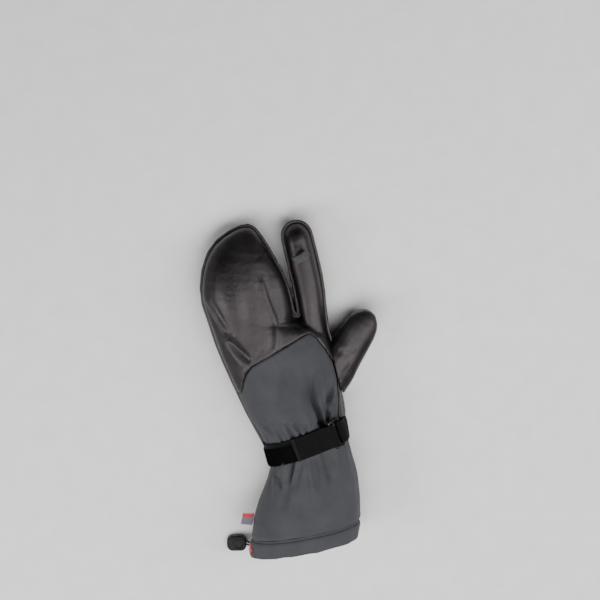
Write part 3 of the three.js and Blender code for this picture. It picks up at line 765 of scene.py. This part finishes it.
groups = {"leather": makeGrainGroup(), "weave": makeWeaveGroup()}
leatherLook = {
    "cells": 1500, "dark": (0.0028, 0.0026, 0.0026), "pale": (0.0070, 0.0064, 0.0064), "bump": 0.8,
    "deep": 0.00012, "rough": 0.42, "shine": 0.46, "tint": (1.0, 0.90, 0.92), "coat": 0.03, "coatRough": 0.38,
}
softshellLook = {
    "across": 0.9, "along": 0.9, "dark": (0.032, 0.033, 0.0375), "pale": (0.062, 0.0645, 0.072),
    "fleck": 0.45, "bump": 0.5, "deep": 0.00022, "rough": 0.85, "sheen": 0.06, "shine": 0.35,
}
liningLook = {
    "across": 0.5, "along": 0.5, "dark": (0.012, 0.012, 0.013), "pale": (0.030, 0.030, 0.032),
    "fleck": 0.8, "bump": 0.8, "deep": 0.0005, "rough": 0.95, "sheen": 0.35, "shine": 0.2,
}
webbingLook = {
    "across": 0.8, "along": 0.55, "dark": (0.0014, 0.0014, 0.0016), "pale": (0.0042, 0.0042, 0.0046),
    "fleck": 0.3, "bump": 0.9, "deep": 0.0003, "rough": 0.62, "sheen": 0.0, "shine": 0.1,
}
leather = leatherMaterial("blackLeather", leatherLook)
softshell = clothMaterial("greySoftshell", softshellLook)
lining = clothMaterial("fleeceLining", liningLook)
webbing = clothMaterial("blackWebbing", webbingLook)
makeCamera()
makeStage()
print("mitten: camera, stage and shared materials")


# Lines of the seams between the shells, from the CAD model's sharp edges
def facingOut(middles, one, other):
    # The welt's upper edges with neither leather nor cloth over the place beside them
    roofs = [skinTree(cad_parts[node]) for node in ("back_leather", "softshell_gauntlet")]
    up = np.maximum(one[:, 2], other[:, 2]) > 0.8
    side = np.where((np.abs(one[:, 2]) < np.abs(other[:, 2]))[:, None], one, other)
    beside = middles + side * 1.6 * mm
    covered = [any(r.ray_cast(Vector(p), Vector((0, 0, 1)))[0] for r in roofs) for p in beside]
    return up & ~np.array(covered)


def cutEdges(middles, one, other):
    # Edges between an outer side and a cut, and the normals of the cut
    away = outwardFrom(middles)
    a, b = dots(one, away), dots(other, away)
    return np.maximum(a, b) > 0.6, np.minimum(a, b) < 0.5, np.where((a < b)[:, None], one, other)


def panelEdge(middles, one, other):
    outside, steep, cut = cutEdges(middles, one, other)
    return outside & steep & (np.abs(cut[:, 2]) < 0.75) & (cut[:, 1] > -0.5)


def hemEdge(middles, one, other):
    outside, _, cut = cutEdges(middles, one, other)
    return outside & (cut[:, 1] > 0.8)


def seamLine(node, keep, step, rounds):
    path = sharpChain(node, keep)
    closed = np.linalg.norm(path[0] - path[-1]) < 1 * mm
    path = evenly(path, step * mm)
    return softened(path[:-1], rounds, True) if closed else softened(path, rounds)


weltPath = seamLine("outseam_welt", facingOut, 1.3, 4)
weltEnds = [2.5 * weltPath[end] - 1.5 * weltPath[inner] for end, inner in ((0, 2), (-1, -3))]
weltPath = np.concatenate([weltEnds[:1], weltPath, weltEnds[1:]])
panelPath = seamLine("softshell_gauntlet", panelEdge, 1.6, 4)
hemPath = seamLine("hem_channel", hemEdge, 2.0, 4)
print("mitten: seam lines,", len(weltPath), len(panelPath), len(hemPath), "stations")


# What the leather shells share. A row of waves has a size along each axis and a height, both in mm,
# and a seed. Waves are round unless the row says that they are sharp. A row of folds has a path,
# a width and a depth, and then swell, steep and late where they aren't foldRise's own.
leatherShell = {
    "fill": 0.75, "slot": "leather", "material": leather, "inside": lining, "folds": [], "seams": [],
}

# Back of the hand: the broad compartment and the index finger
backLook = {
    **leatherShell, "voxel": 1.15, "rounds": 36,
    "waves": [((26, 80, 26), 0.5, 1), ((11, 36, 11), 0.22, 2), ((5, 3.5, 5), 0.08, 3)],
    "folds": [
        ([(-29, 124), (-23, 104), (-14, 80), (-11.5, 64), (-13.3, 50)], 2.8, -1.5, 0.3),
        ([(-85, 100), (-78.4, 87), (-65.8, 66)], 2.8, -1.3),
        ([(-27, 148), (-15, 127), (-8, 107), (-4.5, 90), (-4, 74)], 9.0, -4.0, 0),
        ([(-63.7, 60), (-50, 46.4), (-40, 37)], 4.5, 2.0, 0.4),
        ([(4, 75), (13, 70), (24, 57)], 3.4, 1.3, 0.3),
        ([(12, 70), (13, 56)], 3.0, 1.2, 0.4),
        ([(-46, 112), (-42, 90), (-38, 66)], 6.0, 0.5),
    ],
    "seams": [{"path": weltPath, "ditch": 1.1, "width": 2.6, "swell": 1.2, "at": 10, "wide": 6}],
}
palmLook = {
    **leatherShell, "voxel": 1.25, "rounds": 36,
    "waves": [((16, 40, 16), 0.9, 11), ((9, 18, 9), 0.3, 12, "sharp")],
    "seams": [{"path": weltPath, "ditch": 0.8, "width": 2.6, "swell": 0.8, "at": 9, "wide": 5}],
}
thumbLook = {
    **leatherShell, "voxel": 1.0, "rounds": 30,
    "waves": [((14, 34, 16), 0.8, 21), ((9, 18, 9), 0.16, 22)],
    "folds": [
        ([(46, 30), (62, 22)], 3.4, 1.1, 0.4),
        ([(52, 46), (68, 38)], 3.6, 0.7, 0.4),
    ],
}
softShell("back_leather", backLook)
softShell("palm_leather", palmLook)
softShell("thumb_leather", thumbLook)

# Fabric panel and cuff. The strap's middle is strapAt, and the strap runs at strapTurn degrees.
strapAt, strapTurn = (20.95, -55.14), 22
strapSide = np.array([math.cos(math.radians(strapTurn)), math.sin(math.radians(strapTurn)), 0])
strapAhead = np.array([-strapSide[1], strapSide[0], 0])


def offStrap(points):
    return points / mm - [*strapAt, 0]


gatherLook = {"size": (6.5, 9, 1), "stretch": 0.22, "seed": 31, "near": (9, 15), "far": (18, 46), "rise": 0.8}


def gathers(points):
    # Fine pleats that run out from under the strap on both sides
    look = gatherLook
    away = offStrap(points) @ strapAhead
    cloth = flatPlace(clothPlace(points)[:, 0], away * look["stretch"])
    pleats = np.abs(roughly(cloth, look["size"], look["seed"]))
    near = ease(np.abs(away), *look["near"]) * (1 - ease(np.abs(away), *look["far"]))
    return near * look["rise"] * mm * (pleats * 1.9 - 0.55)


hemDip = {
    "path": hemPath, "ditch": 1.1, "width": 2.0, "swell": 0.5, "at": 5, "wide": 2.4, "pucker": 0.45,
    "pitch": 2.6,
}
gauntletLook = {
    "voxel": 1.04, "rounds": 30, "fill": 0.55, "slot": "softshell",
    "waves": [((22, 55, 22), 1.1, 32), ((12, 30, 12), 0.2, 33, "sharp")],
    "folds": [
        ([(24, 34), (25.6, 10), (29, -6), (35, -21), (39, -33)], 4.0, 8.5, 0.55, -1),
        ([(46.5, 20), (46, 0), (43.5, -14), (42.5, -30)], 3.4, 6.5, 0.55, -1),
        ([(25.4, 14), (28.5, -4), (32, -14), (39, -36)], 2.6, 7.5, 0, 0, 1),
        ([(46, 12), (43.5, -10), (42.5, -32)], 2.2, 6.5, 0, 0, 1),
        ([(-4, -26), (0, -35), (6, -46)], 1.7, 3.6),
        ([(5, -27), (11, -35), (14, -44)], 1.5, 3.0),
        ([(17, -26), (17.5, -33), (20, -42)], 1.5, 2.8),
        ([(-13, -36), (-9, -43), (-6, -50)], 1.4, 2.6),
        ([(-28.4, -30.7), (-22, -36), (-16.2, -44)], 2.4, 2.0),
        ([(-10.5, 37.1), (-12.4, -8.5)], 6.0, 1.3),
        ([(0.5, -96), (4.0, -80), (6.2, -67.5)], 2.4, 4.0, 0.55, 1),
        ([(0.5, -94), (4.0, -80), (6.2, -66)], 1.8, 4.5, 0.2, 0, 1),
        ([(-20, -78), (-10, -86), (-8, -99)], 2.0, 2.8),
        ([(-14.5, -88), (-15, -106)], 3.0, -2.0, 0.3),
        ([(-2.1, -94.3), (-6.2, -121.3)], 4.5, 1.6),
        ([(15.9, -74.5), (7.8, -111)], 4.0, -1.8, 0.4),
        ([(-34.2, -71.3), (-17.5, -85.4)], 2.6, 2.0),
        ([(24.6, -60.4), (30.9, -98.4)], 2.8, 2.2, 0.6),
        ([(35.1, -55), (43.5, -87.6)], 2.8, 2.0, 0.6),
        ([(-24, -92), (-30, -118)], 4.0, 1.4),
    ],
    "seams": [hemDip, {"path": weltPath, "ditch": 0.8, "width": 2.4, "swell": 0.5, "at": 7, "wide": 4}],
    "extra": gathers, "material": softshell, "inside": lining,
}
hemLook = {
    "voxel": 1.0, "rounds": 14, "fill": 0.6, "slot": "softshell", "waves": [((12, 24, 12), 0.8, 32)],
    "folds": [], "seams": [hemDip], "material": softshell, "inside": softshell,
}
softShell("softshell_gauntlet", gauntletLook)
hemSkin = softShell("hem_channel", hemLook)
print("mitten: soft shells")


# Piping of the welted seam round both compartments. Rows are mm out from its rim, and mm up.
weltLook = {
    "profile": [
        (-8, -1.0), (-4.4, -1.0), (-3.4, -0.7), (-2.7, -0.9), (-2.0, -1.35), (-1.1, -1.55), (-0.2, -1.35),
        (0.45, -0.85), (0.7, 0), (0.45, 0.85), (-0.2, 1.35), (-1.1, 1.55), (-2.0, 1.35), (-2.7, 0.9),
        (-3.4, 0.7), (-4.4, 1.0), (-8, 1.0),
    ],
    # The whole piping is painted paler: partly edge wear, partly a painted highlight line along its rolled
    # edge
    "under": 0.6, "wornAndSheen": 0.75,
}


def welt():
    look = weltLook
    path = weltPath - [0, 0, look["under"] * mm]
    side = np.cross(alongs(path), [0, 0, 1.0])
    side *= np.sign(dots(side, outwardFrom(path)).mean())
    side[:, 2] = 0
    piece = swept("outseamWeltPiping", path, side, np.array(look["profile"]) * mm)
    # Paints the piping paler all along, as edge wear and as a painted highlight line
    store(piece, "wornAndSheen", np.full(len(piece.data.vertices), look["wornAndSheen"]))
    finishPiece(piece, leather, ("outseam_welt",))


welt()


# Tapes close the joints between the shells. depth: mm under the surface.
tapeLook = {
    "panel": {"radius": 1.15, "depth": 1.0, "material": leather, "slot": "leather"},
    "hem": {"radius": 1.5, "depth": 1.9, "material": softshell, "slot": "softshell"},
}


def seamTape(name, path, look):
    away = outwardFrom(path)
    closed = np.linalg.norm(path[0] - path[-1]) < 3 * mm
    sunk = path - away * look["depth"] * mm
    piece = swept(name, sunk, away, roundProfile(look["radius"] * mm, 10), closed)
    store(piece, "wornAndSheen", np.zeros(len(piece.data.vertices)))
    store(piece, "cloth", clothPlace(pointsOf(piece)))
    finishPiece(piece, look["material"])


seamTape("panelSeamTape", panelPath, tapeLook["panel"])
seamTape("hemSeamTape", hemPath, tapeLook["hem"])
print("mitten: welt and seam tapes")


# Strap coordinates in mm: round the wrist from its thumb side, and across the strap
strapOval = {"half": 43, "high": 28.5, "middle": 35}


def strapPlace(points):
    off = offStrap(points)
    rise = points[:, 2] / mm - strapOval["middle"]
    turn = np.linspace(-math.pi / 2, math.pi * 1.5, 361)
    half, high = strapOval["half"], strapOval["high"]
    arc = ovalReach(half, high, turn)
    arc -= np.interp(0, turn, arc)
    angle = np.arctan2(rise / high, off @ strapSide / half)
    angle = np.where(angle < -math.pi / 2, angle + 2 * math.pi, angle)
    return flatPlace(np.interp(angle, turn, arc), off @ strapAhead)


# What all flat webbing shares: how long its waves are, and where its edge turns, in mm from the rim
webbingShape = {"waves": (16, 12, 9), "turns": (2.6, 0.6)}


# Webbing: an even mesh of the CAD strip with softened edges, ribs and a slight wave
def webbingPiece(node, look, place):
    piece = copyOf(node, node + "Woven")
    evenMesh(piece, look["voxel"] * mm * (1), look["rounds"], 2)
    points = pointsOf(piece)
    spots = place(points)
    rise = look["wave"] * mm * roughly(spots, webbingShape["waves"], look["seed"])
    edge = ease(np.abs(spots[:, 1]), *(look["halfWidth"] - turn for turn in webbingShape["turns"]))
    rise -= edge * look["edge"] * mm
    rise += look["rib"] * mm * np.sin(2 * math.pi * spots[:, 0] / look["ribStep"]) * (1 - edge)
    if "endBand" in look:
        start, high = look["endBand"]
        rise += high * mm * ease(spots[:, 0], start, start + 0.6)
    setPoints(piece, points + normalsOf(piece) * rise[:, None])
    store(piece, "cloth", spots)
    smoothShaded(piece)
    return finishPiece(piece, look["material"], (node,))


stripLook = {"rounds": 8, "halfWidth": 12.5, "material": webbing, "slot": "strap_webbing"}
loopLook = {
    **stripLook, "voxel": 0.5, "wave": 0.22, "edge": 0.25, "rib": 0.05, "ribStep": 1.6, "seed": 41,
    "slot": "loop_webbing",
}
anchorLook = {**stripLook, "voxel": 0.45, "wave": 0.16, "edge": 0.3, "rib": 0.07, "ribStep": 1.5, "seed": 43}
tabEnd = strapPlace(pointsOf(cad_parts["strap_tab"]))[:, 0].max()
tabBand = [(tabEnd - 3.4, tabEnd + 2, (0.011, 0.0098, 0.0090))]
tabLook = {
    **anchorLook, "seed": 42, "endBand": (tabEnd - 3.6, 0.35),
    "material": banded(clothMaterial("bandedWebbing", webbingLook), tabBand, "X"),
}
loopPiece = webbingPiece("strap_loop_webbing", loopLook, strapPlace)
tabPiece = webbingPiece("strap_tab", tabLook, strapPlace)
anchorPiece = webbingPiece("strap_anchor", anchorLook, strapPlace)
print("mitten: strap")

# Fuzzy loops on the part of the strap that the tab leaves bare
fuzzLook = {
    "count": 6500, "beyond": 0.5, "sewn": 4.5, "half": 11.4, "height": 0.85, "width": 0.16, "seed": 5,
    "scatter": 0.25, "lean": 0.9, "tall": (0.6, 1.2),
    "bend": ((0, -0.1), (0.25, 0.75), (0.6, 1.0), (1.0, 0.45)),
}


def fuzz():
    look = fuzzLook
    chance = np.random.default_rng(look["seed"])
    tree = skinTree(loopPiece)
    points = pointsOf(loopPiece)
    spots = strapPlace(points)
    normals = normalsOf(loopPiece)
    out = dots(normals, outwardFrom(points)) > 0.6
    start = strapPlace(pointsOf(tabPiece))[:, 0].max() + look["beyond"]
    end = spots[:, 0].max() - look["sewn"]
    bare = out & (spots[:, 0] > start) & (spots[:, 0] < end) & (np.abs(spots[:, 1]) < look["half"])
    chosen = chance.choice(np.flatnonzero(bare), look["count"] // (1))
    made, faces = [], []
    for i in chosen:
        base = points[i] + chance.normal(0, look["scatter"], 3) * mm
        base = np.array(tree.find_nearest(Vector(base))[0])
        normal = normals[i]
        lean = np.cross(normal, chance.normal(0, 1, 3))
        lean /= np.linalg.norm(lean)
        side = np.cross(normal, lean) * look["width"] * mm / 2
        high = look["height"] * mm * chance.uniform(*look["tall"])
        for share, rise in look["bend"]:
            spot = base + lean * high * look["lean"] * share + normal * high * rise
            made += [spot - side, spot + side]
        first = len(made) - 8
        faces += [(first + j, first + j + 1, first + j + 3, first + j + 2) for j in (0, 2, 4)]
    finishPiece(meshFrom("strapFuzz", made, faces), fuzzMaterial)


fuzzMaterial = plainMaterial("blackFuzz", (0.0025, 0.0025, 0.003), 0.8, 0.06)
fuzz()


# Seams sewn with thread. lift: mm of the thread's middle over the cloth.
threadMaterial = plainMaterial("darkThread", (0.006, 0.006, 0.007), 0.6, 0.25)
strapStitch = {"pitch": 0.0022, "length": 1.7 * mm, "thread": 0.42 * mm, "lift": 0.08 * mm, "slant": 0}
hemStitch = {"pitch": 0.0026, "length": 1.7 * mm, "thread": 0.6 * mm, "lift": 0.0, "slant": 40}


# A path on the strap from places (mm round the wrist, mm across), on a piece's outer side
def strapPath(piece, places):
    points = pointsOf(piece)
    spots = strapPlace(points)
    out = dots(normalsOf(piece), outwardFrom(points)) > 0.3
    found = []
    for over, across in evenly([(a, b, 0) for a, b in places], 1.0)[:, :2]:
        gap = np.hypot(spots[:, 0] - over, spots[:, 1] - across) + np.where(out, 0, 1e3)
        found.append(points[gap.argmin()])
    return softened(found, 3)


# Rows of stitches on each strap piece: mm from its end, and half a row's length
strapRows = [(tabPiece, (-1.6, -3.2), 11), (loopPiece, (-1.6, -3.6), 11), (anchorPiece, (2, 4), 10.8)]


def strapSeams():
    rows = []
    for piece, steps, half in strapRows:
        over = strapPlace(pointsOf(piece))[:, 0]
        end = over.min() if steps[0] > 0 else over.max()
        rows += [(piece, [(end + step, -half), (end + step, half)]) for step in steps]
    for i, (piece, places) in enumerate(rows):
        seam = stitched(f"strapStitch{i}", strapPath(piece, places), skinTree(piece), strapStitch)
        finishPiece(seam, threadMaterial)


strapSeams()


def hemSeam():
    low = hemPath + outwardFrom(hemPath) * 0.4 * mm
    low[:, 1] -= 0.5 * mm
    seam = stitched("hemStitch", low, skinTree(hemSkin), hemStitch, True)
    finishPiece(seam, threadMaterial)


hemSeam()
print("mitten: fuzz and stitches")


# Metal: the strap's ring and the cord's eyelet
def metalMaterial(name, colour, rough):
    made, tree = startMaterial(name)
    place = put(tree, "ShaderNodeTexCoord").outputs["Object"]
    smear, fine = noisy(tree, place, 160.0, 5.0), noisy(tree, place, 1500.0, 2.0)
    darker = tuple(0.55 * c for c in colour)
    shaded(tree, fine, 0.2, 0.00003, {
        "Base Color": mixed(tree, remapped(tree, smear, 0.4, 0.65), colour, darker),
        "Roughness": remapped(tree, smear, 0.3, 0.7, rough - 0.06, rough + 0.12), "Metallic": 1,
    })
    return made


gunmetal = metalMaterial("gunmetal", (0.05, 0.05, 0.053), 0.38)
silver = metalMaterial("silver", (0.62, 0.62, 0.63), 0.22)
ring = changed(copyOf("strap_ring", "ringWire"), "SUBSURF", levels=2, render_levels=2)
smoothShaded(ring)
finishPiece(ring, gunmetal, ("strap_ring",))

eyeletLook = {"radius": 3.75, "wire": 0.85, "flat": 0.62, "sunk": 0.1}


def makeEyelet():
    look = eyeletLook
    low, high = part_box("cord_eyelet")
    middle = (low + high) / 2
    away = Vector(outwardFrom(np.array([middle]))[0])
    away.z *= 0.9
    turn = away.to_track_quat("Z", "Y").to_matrix().to_4x4()
    bpy.ops.mesh.primitive_torus_add(major_radius=look["radius"] * mm, minor_radius=look["wire"] * mm,
                                     major_segments=48, minor_segments=14)
    flatter = Matrix.Scale(look["flat"], 4, (0, 0, 1))
    piece = placed("eyeletRing", Matrix.Translation(middle - away * look["sunk"] * mm) @ turn @ flatter)
    smoothShaded(piece)
    finishPiece(piece, silver, ("cord_eyelet",))


makeEyelet()


# Drawcord strands: round, with plaited threads along and round them
cordLook = {
    "across": 1.25, "along": 1.25, "dark": (0.004, 0.004, 0.0045), "pale": (0.022, 0.022, 0.024),
    "fleck": 0.3, "bump": 0.9, "deep": 0.0002, "rough": 0.6, "sheen": 0.0, "shine": 0.5,
}
# Its middle line goes through stations from over to under in mm, and then into the toggle
cordShape = {"radius": 1.02, "sides": 14, "over": 1.2, "under": 1.4, "stations": 6, "near": 2.6, "end": 0.4}


def makeCord(node, material):
    shape = cordShape
    points = pointsOf(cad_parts[node])
    low, high = points[:, 2].min(), points[:, 2].max()
    rows = []
    for level in np.linspace(high - shape["over"] * mm, low + shape["under"] * mm, shape["stations"]):
        near = points[np.abs(points[:, 2] - level) < shape["near"] * mm]
        if len(near):
            rows.append((near.max(0) + near.min(0)) / 2)
    rows.append(points[points[:, 0] < points[:, 0].min() + shape["end"] * mm].mean(0))
    path = softened(evenly(rows, 0.5 * mm), 12)
    side = np.tile([0, 1.0, 0], (len(path), 1))
    sides = shape["sides"]
    piece = swept(node + "Plait", path, side, roundProfile(shape["radius"] * mm, sides))
    turn = np.tile(np.arange(sides) / sides * 2 * math.pi * shape["radius"], len(path))
    run = np.repeat(np.arange(len(path)) * 0.5, sides)
    store(piece, "cloth", flatPlace(run + turn, run - turn))
    finishPiece(piece, material, (node,))


plaited = clothMaterial("plaitedCord", cordLook)
for strand in ("draw_cord_front", "draw_cord_rear"):
    makeCord(strand, plaited)
print("mitten: metal and cords")

# Hanging loop of grey ribbed webbing on the index finger
loopTurn = {"forward": 41, "lift": 34, "at": (13.2, 147.2, 44.1)}


def hangPlace(points):
    turn, lift = math.radians(loopTurn["forward"]), math.radians(loopTurn["lift"])
    along = np.array([-math.sin(turn), math.cos(turn), 0])
    reach = np.array([math.cos(lift) * math.cos(turn), math.cos(lift) * math.sin(turn), math.sin(lift)])
    off = points / mm - loopTurn["at"]
    return flatPlace(off @ reach, off @ along)


greyWebbingLook = {
    "across": 0.75, "along": 0.9, "dark": (0.034, 0.035, 0.037), "pale": (0.095, 0.096, 0.100),
    "fleck": 0.3, "bump": 0.9, "deep": 0.0003, "rough": 0.8, "sheen": 0.1, "shine": 0.3,
}
hangLook = {
    "voxel": 0.3, "rounds": 5, "wave": 0.2, "edge": 0.2, "rib": 0.12, "ribStep": 1.3, "seed": 51,
    "halfWidth": 4.25, "material": clothMaterial("greyWebbing", greyWebbingLook), "slot": "grey_webbing",
}
webbingPiece("hang_loop", hangLook, hangPlace)


# Labels. The tag has a pale and a red line woven along its fingers' side.
def labelPlace(axes):
    return lambda points: flatPlace(*points[:, axes].T / mm)


labelCloth = {"fleck": 0.3, "bump": 0.5, "deep": 0.0001, "sheen": 0.1, "shine": 0.4}
redLook = {
    **labelCloth, "across": 1.6, "along": 1.6, "dark": (0.30, 0.014, 0.020), "pale": (0.56, 0.035, 0.045),
    "rough": 0.55,
}
tagClothLook = {
    **labelCloth, "across": 1.7, "along": 1.7, "dark": (0.075, 0.062, 0.092), "pale": (0.170, 0.145, 0.195),
    "rough": 0.6,
}
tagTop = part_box("side_tag")[1].y / mm
tagMaterial = banded(clothMaterial("wovenTag", tagClothLook), [
    (tagTop - 6.0, tagTop - 1.5, (0.45, 0.02, 0.035)), (tagTop - 1.5, tagTop + 1, (0.60, 0.58, 0.62)),
])
labelLook = {"rounds": 3, "edge": 0, "rib": 0, "ribStep": 1, "halfWidth": 999}
arrowLook = {
    **labelLook, "voxel": 0.28, "wave": 0.12, "seed": 61, "material": clothMaterial("redLabel", redLook),
    "slot": "red_label",
}
tagLook = {**labelLook, "voxel": 0.3, "wave": 0.35, "seed": 62, "material": tagMaterial, "slot": "tag_fabric"}
webbingPiece("arrow_label", arrowLook, labelPlace((2, 1)))
webbingPiece("side_tag", tagLook, labelPlace((0, 1)))
print("mitten: loop and labels")


# Toggle: a ribbed block with a raised ring, and a ribbed button that presses 1.5 mm down into it
toggleLook = {
    "corner": 6.2, "rim": 1.3, "groove": 0.65, "grooveDepth": 0.6, "grooves": (-8.7, -7.2, -5.7),
    "ring": 6.3, "ringWire": 0.95, "ringHeight": 1.0, "gap": 0.3, "cordHole": 1.35, "cordHoleAt": (2.1, 4.6),
    "bars": (-3.3, -1.65, 0, 1.65, 3.3), "barWidth": 0.8, "barHeight": 0.5,
}


def blockPiece(name, size, middle):
    bpy.ops.mesh.primitive_cube_add(size=1)
    return placed(name, Matrix.Translation(middle) @ Matrix.Diagonal((*size, 1)))


def roundPiece(name, radius, low, high, x, y):
    bpy.ops.mesh.primitive_cylinder_add(vertices=64, radius=radius, depth=high - low)
    return placed(name, Matrix.Translation((x, y, (low + high) / 2)))


def softEdges(piece, width, segments=3, angle=40):
    return changed(piece, "BEVEL", width=width * mm, segments=segments, limit_method="ANGLE",
                   angle_limit=math.radians(angle), use_clamp_overlap=True)


def combine(piece, other, operation="DIFFERENCE"):
    changed(piece, "BOOLEAN", operation=operation, object=other, solver="EXACT")
    bpy.data.objects.remove(other)


def joined(pieces):
    pick(pieces[0])
    for piece in pieces:
        piece.select_set(True)
    bpy.ops.object.join()
    return pieces[0]


def roundCorners(piece, radius):
    # Bevels a block's upright edges
    pick(piece)
    bpy.ops.object.mode_set(mode="EDIT")
    bpy.ops.mesh.select_mode(type="EDGE")
    bpy.ops.mesh.select_all(action="DESELECT")
    bpy.ops.object.mode_set(mode="OBJECT")
    for edge in piece.data.edges:
        a, b = (piece.data.vertices[i].co for i in edge.vertices)
        edge.select = abs(a.z - b.z) > 1 * mm
    bpy.ops.object.mode_set(mode="EDIT")
    bpy.ops.mesh.bevel(offset=radius, segments=10, affect="EDGES")
    bpy.ops.object.mode_set(mode="OBJECT")


def finishToggle(piece, node, body):
    pick(piece)
    bpy.ops.object.shade_smooth_by_angle(angle=math.radians(35))
    finishPiece(piece, togglePlastic, (node,), body)


def makeToggle():
    look = toggleLook
    low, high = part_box("cord_lock_body")
    buttonLow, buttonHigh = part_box("cord_lock_button")
    size, middle = high - low, (low + high) / 2
    press = ((buttonLow.x + buttonHigh.x) / 2, (buttonLow.y + buttonHigh.y) / 2)
    radius = (buttonHigh.x - buttonLow.x) / 2
    top = high.z - look["ringHeight"] * mm
    body = blockPiece("toggleBody", (size.x, size.y, top - low.z), (middle.x, middle.y, (low.z + top) / 2))
    roundCorners(body, look["corner"] * mm)
    softEdges(body, look["rim"], 4)
    for x in look["grooves"]:
        groove = (look["groove"] * mm, 20 * mm, 2 * look["grooveDepth"] * mm)
        combine(body, blockPiece("groove", groove, (middle.x + x * mm, middle.y, top)))
    collar = roundPiece("collar", (look["ring"] + look["ringWire"]) * mm, top - 1.2 * mm, high.z, *press)
    combine(body, softEdges(collar, 0.45), "UNION")
    hole = (radius + look["gap"] * mm, buttonLow.z - 2.1 * mm, high.z + 2 * mm)
    combine(body, roundPiece("hole", *hole, *press))
    for side in (-1, 1):
        bpy.ops.mesh.primitive_cylinder_add(vertices=24, radius=look["cordHole"] * mm, depth=7 * mm)
        across, up = look["cordHoleAt"]
        spot = Matrix.Translation((high.x, middle.y + side * across * mm, up * mm))
        combine(body, placed("cordHole", spot @ Matrix.Rotation(math.pi / 2, 4, "Y")))
    softEdges(body, 0.15, 2, 50)
    finishToggle(body, "cord_lock_body", "mitten")
    button = roundPiece("toggleButton", radius, buttonLow.z, buttonHigh.z - look["barHeight"] * mm, *press)
    pieces = [softEdges(button, 0.35)]
    for x in look["bars"]:
        half = math.sqrt((radius - 0.7 * mm) ** 2 - (x * mm) ** 2)
        bar = blockPiece("bar", (look["barWidth"] * mm, 2 * half, 2 * look["barHeight"] * mm),
                         (press[0] + x * mm, press[1], buttonHigh.z - look["barHeight"] * mm))
        pieces.append(softEdges(bar, 0.2, 2))
    finishToggle(joined(pieces), "cord_lock_button", "button")


togglePlastic = plainMaterial("togglePlastic", (0.007, 0.007, 0.0075), 0.42, 0.2)
makeToggle()
print("mitten: toggle")
